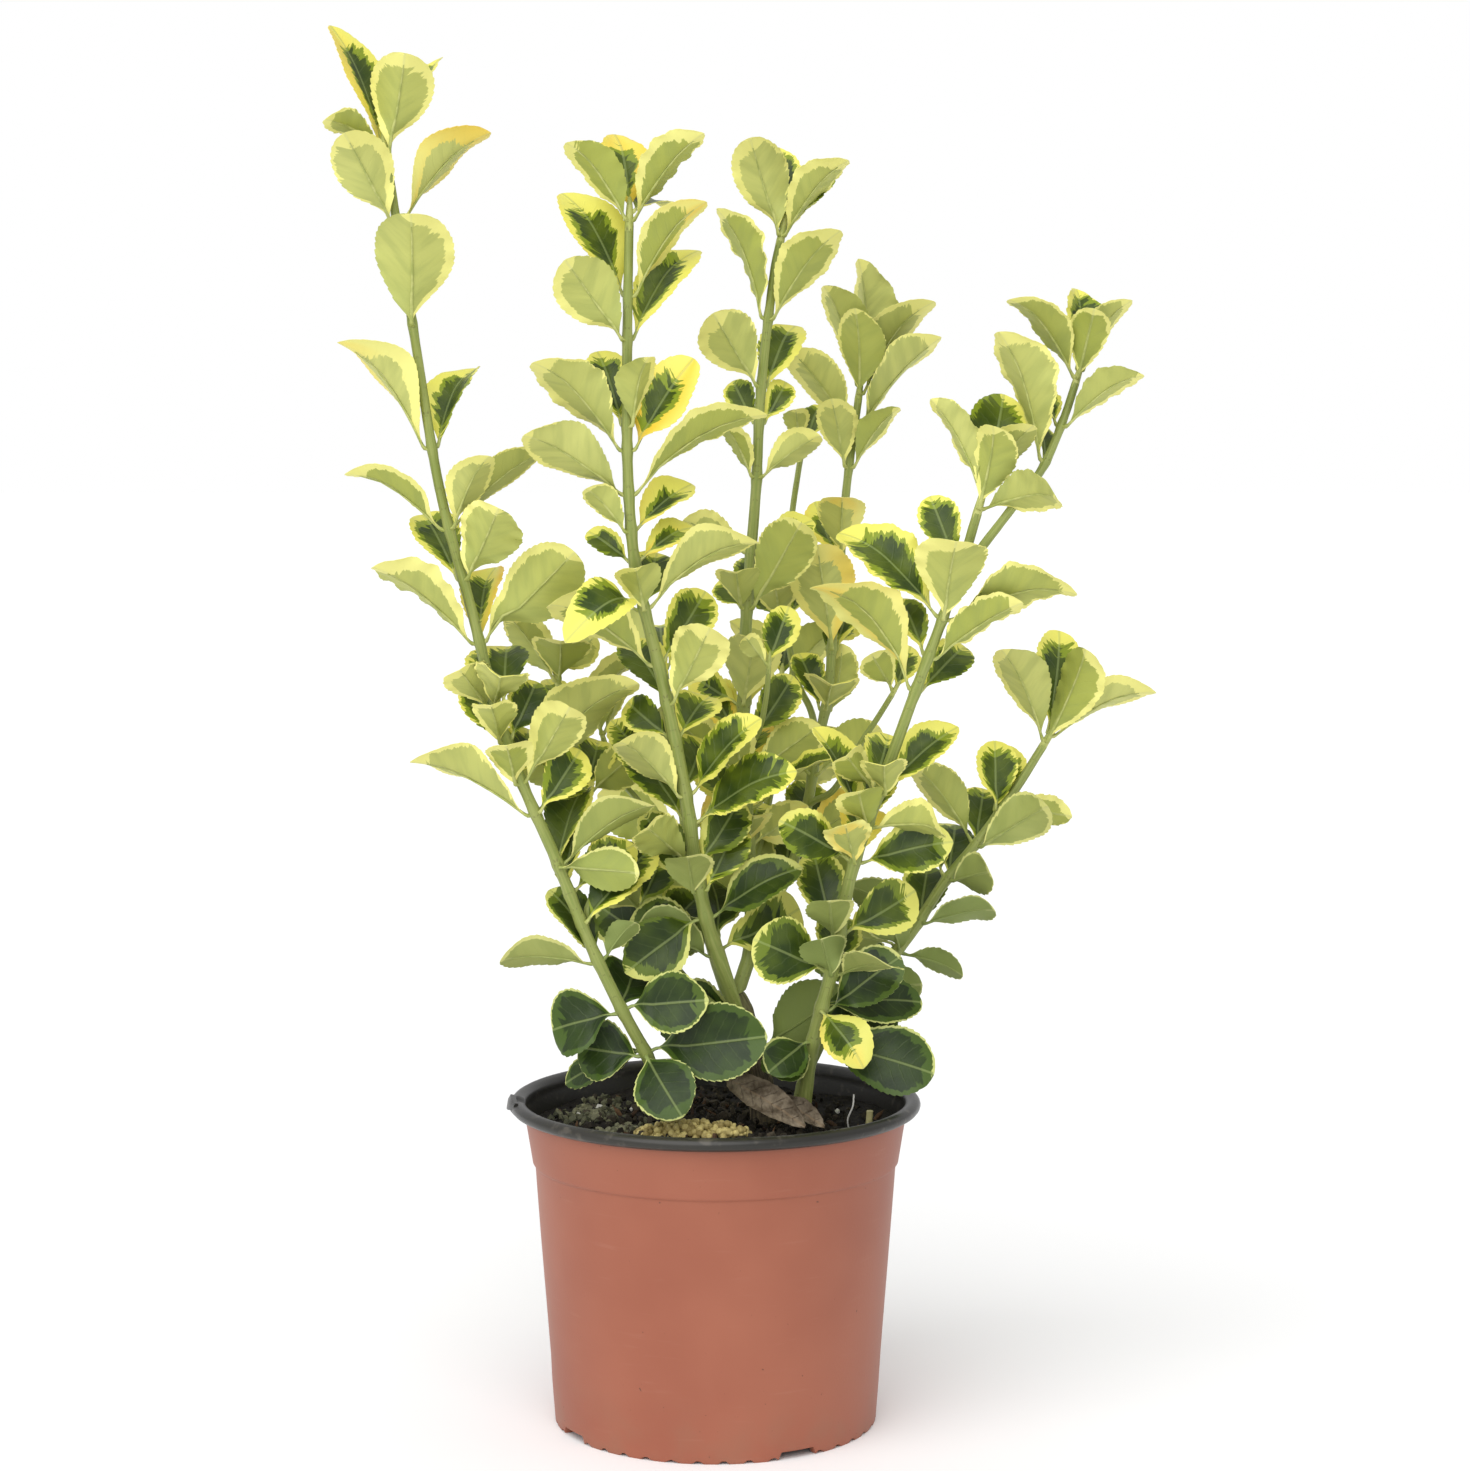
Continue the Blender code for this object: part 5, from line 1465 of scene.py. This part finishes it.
def add_leaf(maker, blade, look, foot):
    """A thin blade with a toothed margin, cupped along its midrib, and its stalk."""
    rows = leaf_rows(blade.length)
    kind = (look.age, look.yellow, look.lean)
    top, bottom, middles = [], [], []
    for share, out in rows:
        along = STALK_SHARE + (1 - STALK_SHARE) * share
        normal = blade.upper_side(along)
        side = blade.axis.cross(normal)
        arch = blade.rise * 4 * along * (1 - along)
        droop = look.curl * blade.length * max(0.0, (share - 0.55) / 0.45) ** 2
        middle = blade.root + blade.chord * along + normal * (arch - droop)
        half = max(0.7, blade.width * half_width(look, share))
        eased = min(1.0, share * 5)
        turned = look.twist * math.sin(math.pi * share)
        across_way = side * math.cos(turned) + normal * math.sin(turned)
        up_way = normal * math.cos(turned) - side * math.sin(turned)
        upper_row, lower_row = [], []
        for column in COLUMNS:
            apart = abs(column)
            reach = half * apart + (out if apart > 0.99 else 0.0) * eased
            lift = half * math.sin(look.fold) * apart * eased
            lift += 0.05 * look.cup * half * (apart * apart - apart) * 2.0 * eased
            turn = look.phase + (3 if column > 0 else 0)
            lift += look.wave * half * apart**3 * math.sin(turn + 9 * share)
            lift += look.crimp * half * apart**4 * math.sin(turn + 31 * share)
            lift -= 0.030 * half * max(0.0, apart - 0.7) / 0.3
            thick = (0.42 - 0.26 * apart) / 2
            level = across_way * math.copysign(reach, column) * math.cos(look.fold)
            point = middle + level + up_way * lift
            edge_in = half * (1 - apart)
            tip_in = (1 - share) * blade.length * 0.45
            inward = min(edge_in, tip_in) / (0.5 * blade.width)
            along_vein = share * blade.length - 0.75 * reach
            values = {
                "leaf_co": (along_vein, column * half, look.number),
                "leaf_map": (inward, column, share),
                "leaf_kind": kind,
            }
            upper_row.append(maker.vertex(point + up_way * thick, **values))
            lower_row.append(maker.vertex(point - up_way * thick, **values))
        top.append(upper_row)
        bottom.append(lower_row)
        middles.append((middle, up_way, across_way))
    maker.sheet(top, bottom, UNDERSIDE)
    add_stalk(maker, blade, look, foot, middles, kind)


def add_stalk(maker, blade, look, foot, middles, kind):
    """The stalk from inside the stem, which runs on under the blade as its midrib."""
    up = blade.upper_side(0.0)
    across = blade.axis.cross(up)
    spine = [(foot, up, across, 1.25), (foot.lerp(blade.root, 0.75), up, across, 1.1)]
    along = STALK_SHARE * 0.5
    up = blade.upper_side(along)
    arch = blade.rise * 4 * along * (1 - along)
    spine.append((blade.root + blade.chord * along + up * arch, up, blade.axis.cross(up), 0.9))
    last = len(middles) - 1
    for share, size in ((0.0, 0.8), (0.1, 0.66), (0.25, 0.52), (0.45, 0.4), (0.65, 0.3), (0.85, 0.2)):
        middle, up, across = middles[min(last, round(share * last))]
        sink = 0.10 + 0.30 * size * min(1.0, share * 12)
        spine.append((middle - up * sink, up, across, size))
    values = stalk_values(look.number, kind)
    rings = []
    for centre, up, across, size in spine:
        ring = []
        for k in range(STEM_SIDES):
            angle = math.tau * k / STEM_SIDES
            offset = across * math.cos(angle) * size + up * math.sin(angle) * size * 0.8
            ring.append(maker.vertex(centre + offset, **values))
        rings.append(ring)
    maker.tube(rings[::-1], STALK)


def stalk_values(number, kind):
    return {"leaf_co": (0, 9, number), "leaf_map": (0.5, 0.5, 0.5), "leaf_kind": kind}


def stalk_material():
    shading = Shading("leaf_stalk", 0.5, 0.4)
    age, _, _ = shading.parts(shading.attribute("leaf_kind"))
    cloud = shading.noise(shading.place(), 260.0)
    green = shading.blend(cloud, 0.35, 0.65, tone(176, 186, 98), tone(206, 210, 128))
    return shading.finish(shading.mix(age, green, tone(150, 166, 92)))


LEAF_MATERIALS = [leaf_upper_material(), leaf_under_material(), stalk_material()]


def tip_of(blade):
    return blade.root + blade.chord


def leaf_maker():
    return MeshMaker("leaf_co", "leaf_map", "leaf_kind")


def stem_shell(stem, path, parent):
    """The frame's stem, for clash tests."""
    sections = [(seat_of(stem, parent, path), path.radius(0.0))]
    for length in stem_stations(stem, path, free_length(stem, parent, path)):
        sections.append((path.place(length), path.radius(length)))
    return tube_tree(path, sections)


CROWN_SHOULDER = 9.0
THICKEST_TWIG = 4.0
TWIG_SIDES = 18
TWIG_RINGS = 150


def make_stem_look(name, stem, path, parent, nodes, bark, green):
    """A twig with a ridge under each leaf, swollen at its nodes, and brown at its foot."""
    maker = MeshMaker("stem_co")
    low = free_length(stem, parent, path)
    lengths = [low + (path.total - low) * i / TWIG_RINGS for i in range(TWIG_RINGS + 1)]
    places = [(0.0, seat_of(stem, parent, path))] + [(length, path.place(length)) for length in lengths]
    swellings = [whorl_length(path, height) for height in nodes]
    is_crown = stem.base_radius > THICKEST_TWIG
    rings = []
    for at, place in places:
        radius = path.radius(at)
        knot = sum(math.exp(-(((at - swell) / 2.6) ** 2)) for swell in swellings)
        woody = max(0.0, min(1.0, (174 - place.point.z) / 70)) * 0.55
        if is_crown:
            woody = max(0.35, min(1.0, (196 - place.point.z) / 45))
            over = max(0.0, (at - path.total + CROWN_SHOULDER) / CROWN_SHOULDER)
            radius *= math.sqrt(1 - 0.55 * over**2)
        ring = []
        for k in range(TWIG_SIDES):
            angle = math.tau * k / TWIG_SIDES
            way = place.across * math.cos(angle) + place.side * math.sin(angle)
            ridge = 0.05 * math.cos(4 * angle + at * 0.004)
            spot = Vector((at * 0.22, math.cos(angle) * 1.2, math.sin(angle) * 1.2))
            lumps = (0.05 + 0.10 * woody) * noise.noise(spot)
            reach = radius * (1 + ridge + lumps + 0.16 * min(1.0, knot))
            values = (at, min(angle, math.tau - angle), woody)
            ring.append(maker.vertex(place.point + way * reach, stem_co=values))
        rings.append(ring)
    maker.tube(rings)
    replaced = [name] if name in PLANT else []
    material, slot = (bark, "bark") if is_crown else (green, "stem")
    maker.make(name + "_twig", [material], slot, nodes=replaced)


# What the frame leaves out: small whorls on its stems, and thin side shoots.
EXTRA_WHORLS = {
    "left_stem": [
        [(214, [Leaf(17, 12, 10, 20, 55), Leaf(20, 22, 24, 20, 40), Leaf(-6, 22, 8, 14, 30)])],
        [(226, [Leaf(22, 10, 16, 18, 45), Leaf(6, 20, 20, 14), Leaf(20, 22, 2, 14, 30)])],
    ],
    "right_stem": [[(362, [Leaf(-12, 12, 28, 17), Leaf(20, -8, 11, 11)])]],
    "mid_left_stem": [
        [(206, [Leaf(-28, 16, 4, 22, 50), Leaf(-20, 24, 16, 20, 50), Leaf(4, 24, 18, 16, 30)])],
        [(240, [Leaf(-22, -10, 20, 18), Leaf(24, 8, 18, 18)])],
    ],
    "middle_stem": [[
        (276, [Leaf(-24, -8, 20, 18), Leaf(26, -6, 18, 18)]),
        (291, [Leaf(-16, 10, 20, 16), Leaf(18, 8, 22, 16)]),
    ]],
    "mid_right_stem": [
        [
            (232, [Leaf(24, -10, 12, 20), Leaf(-20, 10, 16, 18)]),
            (250, [Leaf(26, -4, 14, 20), Leaf(-22, 4, 16, 18)]),
        ],
        [(276, [Leaf(-20, -10, 20, 18), Leaf(24, -6, 18, 18)])],
    ],
}

EXTRA_STEMS = {
    "crown_spur_stem": Stem(
        "woody_crown", "side", 1.5, 1.1,
        [(9, 4, 172), (-6, 9, 184), (-20, 12, 200), (-31, 10, 218)],
        whorls=[[(206, [Leaf(-22, 8, 12, 20, 50), Leaf(16, 12, 16, 20, 50), Leaf(2, 22, 8, 16, 30)])]],
        tip=[Leaf(-12, -14, 16, 22), Leaf(8, 10, 22, 18)],
    ),
    "back_spur_stem": Stem(
        "mid_right_stem", "side", 1.5, 1.2,
        [(43, 38, 288), (41, 54, 302), (34, 62, 318), (29, 66, 350), (33, 70, 385), (37, 70, 410)],
        whorls=[[(340, [Leaf(-16, 12, 18, 13), Leaf(14, 14, 20, 12)])]],
        tip=[Leaf(-3, -10, 18, 12), Leaf(8, 8, 20, 11)],
    ),
    "right_inner_stem": Stem(
        "mid_right_stem", "side", 1.4, 1.1,
        [(39, 31, 264), (50, 20, 270), (60, 10, 288), (67, 4, 299), (73, 0, 309)],
        tip=[Leaf(-9, -8, 18, 15), Leaf(8, 6, 20, 13)],
    ),
    "middle_spur_stem": Stem(
        "middle_stem", "side", 1.3, 1.0,
        [(12, 12, 286), (18, 2, 294), (21, -6, 308), (22, -10, 320)],
        tip=[Leaf(2, 8, 26, 16), Leaf(-10, -8, 14, 10)],
    ),
    "left_back_spur_stem": Stem(
        "mid_left_stem", "side", 1.4, 1.1,
        [(-8, -17, 237), (-19, -4, 250), (-32, 6, 265), (-42, 14, 277), (-47, 18, 291)],
        tip=[Leaf(-4, -6, 20, 14), Leaf(10, 4, 24, 9)],
    ),
}


def whorls_of(name, path, groups, ending="leaves"):
    """Whorls on a stem, each a piece of its own."""
    label = name.replace("_stem", "")
    return [Whorls(f"{label}_{ending}_{i + 1}", path, group) for i, group in enumerate(groups)]


def groups_of(name, stem, path):
    """A stem's whorls and its growing tip, named as in the frame."""
    groups = whorls_of(name, path, stem.whorls)
    if stem.tip:
        groups.append(Tip(name.replace("_stem", "") + "_tip_leaves", path, stem.tip))
    return [(name, group) for group in groups]


def make_leaves(stem_name, group, obstacles, rng, numbers, nodes):
    """One piece with a group's leaves, each moved until it is clear of every other."""
    maker = leaf_maker()
    own = {stem_name, group.name}
    for middle, anchor, edges, leaves, corners in group.bands:
        radius = group.radius(edges[0])
        for leaf, corner in zip(leaves, corners):
            settled = settle(leaf, anchor, middle, corner, radius, obstacles, own)
            if settled is None:
                continue
            blade, shell, petiole = settled
            key = f"{group.name}_{len(obstacles)}"
            obstacles[key] = shell
            obstacles[key + "_petiole"] = petiole
            own.add(key + "_petiole")
            look = LeafLook(rng, blade.root.lerp(tip_of(blade), 0.6), next(numbers) * NUMBER_STEP)
            depth = group.path.radius(middle.length) * 0.45
            foot = middle.point + spoke(middle, corner) * depth
            add_leaf(maker, blade, look, foot - middle.along * 0.6)
    if isinstance(group, Tip):
        add_bud(maker, group)
    maker.make(group.name + "_blades", LEAF_MATERIALS, "leaf", nodes=nodes)


def make_twigs(stems, paths):
    bark = stem_material("woody_bark", tone(92, 88, 60), tone(70, 62, 48))
    green = stem_material("green_bark", tone(146, 160, 80), tone(104, 96, 66))
    for name, stem in stems.items():
        heights = []
        for group in [*stem.whorls, *EXTRA_WHORLS.get(name, [])]:
            heights += [height for height, _ in group]
        make_stem_look(name, stem, paths[name], paths.get(stem.parent), heights, bark, green)


def make_plant():
    """The frame's leaves in its own order, then the leaves it leaves out, then the twigs."""
    rng, numbers = random.Random(21), itertools.count(1)
    paths, obstacles = {}, {}
    every_stem = {**PLANT, **EXTRA_STEMS}
    for name, stem in every_stem.items():
        line = [lifted(point) for point in stem.points]
        paths[name] = StemPath(line, stem.base_radius, stem.tip_radius)
    groups = []
    for name, stem in PLANT.items():
        obstacles[name] = stem_shell(stem, paths[name], paths.get(stem.parent))
        groups += groups_of(name, stem, paths[name])
    for _, group in groups:
        obstacles[group.name] = group.hull()
    for name in ("pot", "compost"):
        mesh = frame["nodes"][name].data
        points = [vert.co / MM for vert in mesh.vertices]
        obstacles[name] = BVHTree.FromPolygons(points, [face.vertices for face in mesh.polygons])
    for name, group in groups:
        make_leaves(name, group, obstacles, rng, numbers, [group.name])
    extra_groups = []
    for name, stem in EXTRA_STEMS.items():
        obstacles[name] = stem_shell(stem, paths[name], paths[stem.parent])
        extra_groups += groups_of(name, stem, paths[name])
    for name, added in EXTRA_WHORLS.items():
        for group in whorls_of(name, paths[name], added, "small_leaves"):
            extra_groups.append((name, group))
    for name, group in extra_groups:
        make_leaves(name, group, obstacles, rng, numbers, [])
    make_twigs(every_stem, paths)


def add_bud(maker, tip):
    """The end of the twig inside its youngest leaves, closed by a small bud."""
    end = tip.path.place(tip.path.total)
    radius = tip.path.tip_radius
    reach = (tip.bud - end.point).length
    values = stalk_values(1.0, (0.0, 0.5, 0.0))
    profile = ((-2.0, 1.02), (0.0, 1.04), (reach - 5.0, 0.75), (reach - 3.0, 0.62), (reach - 1.0, 0.3))
    rings = []
    for rise, size in profile:
        centre = end.point + end.along * rise
        ring = []
        for k in range(STEM_SIDES):
            ring.append(maker.vertex(centre + spoke(end, k) * radius * size, **values))
        rings.append(ring)
    maker.tube(rings, STALK)


# Small things on the compost.


def make_withered_leaf(name, root, tip, width, curl, roll, seed):
    """A dead leaf: its margins are rolled in, and the whole blade is crumpled. Its upper side is
    rolled to the front by some degrees."""
    root, tip = Vector(root), Vector(tip)
    chord = tip - root
    axis = chord.normalized()
    level = axis.cross(Vector((0, 0, 1))).normalized()
    turn = math.radians(roll)
    across = level * math.cos(turn) - level.cross(axis) * math.sin(turn)
    up = across.cross(axis)
    maker = leaf_maker()
    top, bottom = [], []
    rows, columns = 34, 15
    for i in range(rows + 1):
        share = i / rows
        middle = root + chord * share + up * (0.10 * chord.length * math.sin(math.pi * share))
        half = 0.5 * width * max(0.05, math.sin(math.pi * min(0.995, 0.01 + share) ** 0.9) ** 0.6)
        if share < 0.12:
            half = 0.5 + (half - 0.5) * (share / 0.12) ** 2
        upper_row, lower_row = [], []
        for j in range(columns):
            side = -1 + 2 * j / (columns - 1)
            angle = side * curl * (0.5 + 0.5 * share)
            reach = half * math.sin(angle) / max(0.3, curl)
            lift = half * (1 - math.cos(angle)) / max(0.3, curl)
            crumple = noise.noise(Vector((share * 7, side * 1.6, seed * 3.1))) * 1.7
            crumple += noise.noise(Vector((share * 19, side * 4, seed * 1.3))) * 0.6
            ragged = 0.5 * noise.noise(Vector((share * 26, side, seed)))
            point = middle + across * (reach + ragged * side) + up * (lift + crumple * min(1, share * 4))
            values = {
                "leaf_co": (share * chord.length - 0.75 * abs(side) * half, side * half, seed),
                "leaf_map": (half * (1 - abs(side)) / (0.5 * width), side, share),
                "leaf_kind": (1, 0, 0),
            }
            upper_row.append(maker.vertex(point + up * 0.16, **values))
            lower_row.append(maker.vertex(point - up * 0.16, **values))
        top.append(upper_row)
        bottom.append(lower_row)
    maker.sheet(top[::-1], bottom[::-1])
    replaced = [name] if name in frame["nodes"] else []
    maker.make(name + "_blade", [WITHERED], "withered_leaf", nodes=replaced)


def make_strand(name, points, radius, material, slot, seed):
    """A fine fibre or twig stub through the points."""
    line = smooth_line([Vector(point) for point in points])
    maker = MeshMaker("shade", "stem_co")
    rings = []
    for i, point in enumerate(line):
        before, after = line[max(0, i - 1)], line[min(len(line) - 1, i + 1)]
        place = frame_at(i, point, (after - before).normalized())
        ring = []
        for k in range(8):
            size = radius * (1 + 0.2 * noise.noise(Vector((i * 0.7, k, seed))))
            values = {"shade": (0.8, 0, 0), "stem_co": (i * 2.0, k, 0.3)}
            ring.append(maker.vertex(point + spoke(place, k) * size, **values))
        rings.append(ring)
    maker.tube(rings)
    maker.make(name, [material], slot)


# The room: a plain pale floor, soft white light all round, and the camera.


def make_floor():
    maker = MeshMaker()
    corners = ((-9000, -4000), (9000, -4000), (9000, 14000), (-9000, 14000))
    maker.face(*[maker.vertex((x, y, 0)) for x, y in corners])
    mesh = bpy.data.meshes.new("floor")
    mesh.from_pydata(maker.points, [], maker.faces)
    shading = Shading("studio_floor", 0.9, 0.1)
    soft = shading.noise(shading.place(), 1.5, 1.0)
    colour = shading.mix(soft, tone(251, 251, 251, 1.0), tone(253, 253, 253, 1.0))
    mesh.materials.append(shading.finish(colour))
    floor = bpy.data.objects.new("studio_floor", mesh)
    bpy.context.scene.collection.objects.link(floor)


SOFT_LIGHT = 0.68
LAMP_STRENGTH = 2.1
LENS = 83.2
CAMERA_PLACE = (0.0082, -1.400, 0.427)
CAMERA_TILT = 5.66


def make_room():
    make_floor()
    scene = bpy.context.scene
    world = bpy.data.worlds.new("studio_white")
    world.use_nodes = True
    background = world.node_tree.nodes["Background"]
    background.inputs["Color"].default_value = (1, 1, 1, 1)
    seen = world.node_tree.nodes.new("ShaderNodeLightPath").outputs["Is Camera Ray"]
    strength = world.node_tree.nodes.new("ShaderNodeMapRange")
    strength.inputs["To Min"].default_value = SOFT_LIGHT
    world.node_tree.links.new(seen, strength.inputs["Value"])
    world.node_tree.links.new(strength.outputs["Result"], background.inputs["Strength"])
    scene.world = world
    sun = bpy.data.lights.new("overhead_soft", "SUN")
    sun.energy = LAMP_STRENGTH
    sun.angle = math.radians(70)
    lamp = bpy.data.objects.new("overhead_soft", sun)
    lamp.rotation_euler = (math.radians(47), 0, math.radians(-20))
    scene.collection.objects.link(lamp)
    camera_data = bpy.data.cameras.new("camera")
    camera_data.sensor_width = 36
    camera_data.lens = LENS
    camera = bpy.data.objects.new("camera", camera_data)
    camera.location = CAMERA_PLACE
    camera.rotation_euler = (math.radians(90 - CAMERA_TILT), 0, 0)
    scene.collection.objects.link(camera)
    scene.camera = camera
    scene.view_settings.view_transform = "Standard"


make_pot()
make_compost()
make_crumbs()
make_granules()
make_plant()
WITHERED = withered_material()
make_withered_leaf("withered_leaf_1", (3, -10, 147), (37, -29, 130), 20, 1.1, 52, 3)
make_withered_leaf("withered_leaf_2", (25, -12, 139), (45, -24, 128.5), 13, 1.0, 48, 4)
THREAD = crumb_material("pale_thread", tone(206, 202, 192), tone(236, 234, 228), 0.8)
THREAD_LINE = [(56, -8, 123), (55, -11, 129), (57, -13, 135), (57.5, -12, 140)]
make_strand("pale_thread", THREAD_LINE, 0.35, THREAD, "compost", 1)
STUB = stem_material("stub_bark", tone(190, 180, 130), tone(150, 128, 90))
make_strand("twig_stub", [(63, -14, 121), (63.5, -16, 127), (64, -17, 134)], 1.4, STUB, "bark", 2)
make_room()
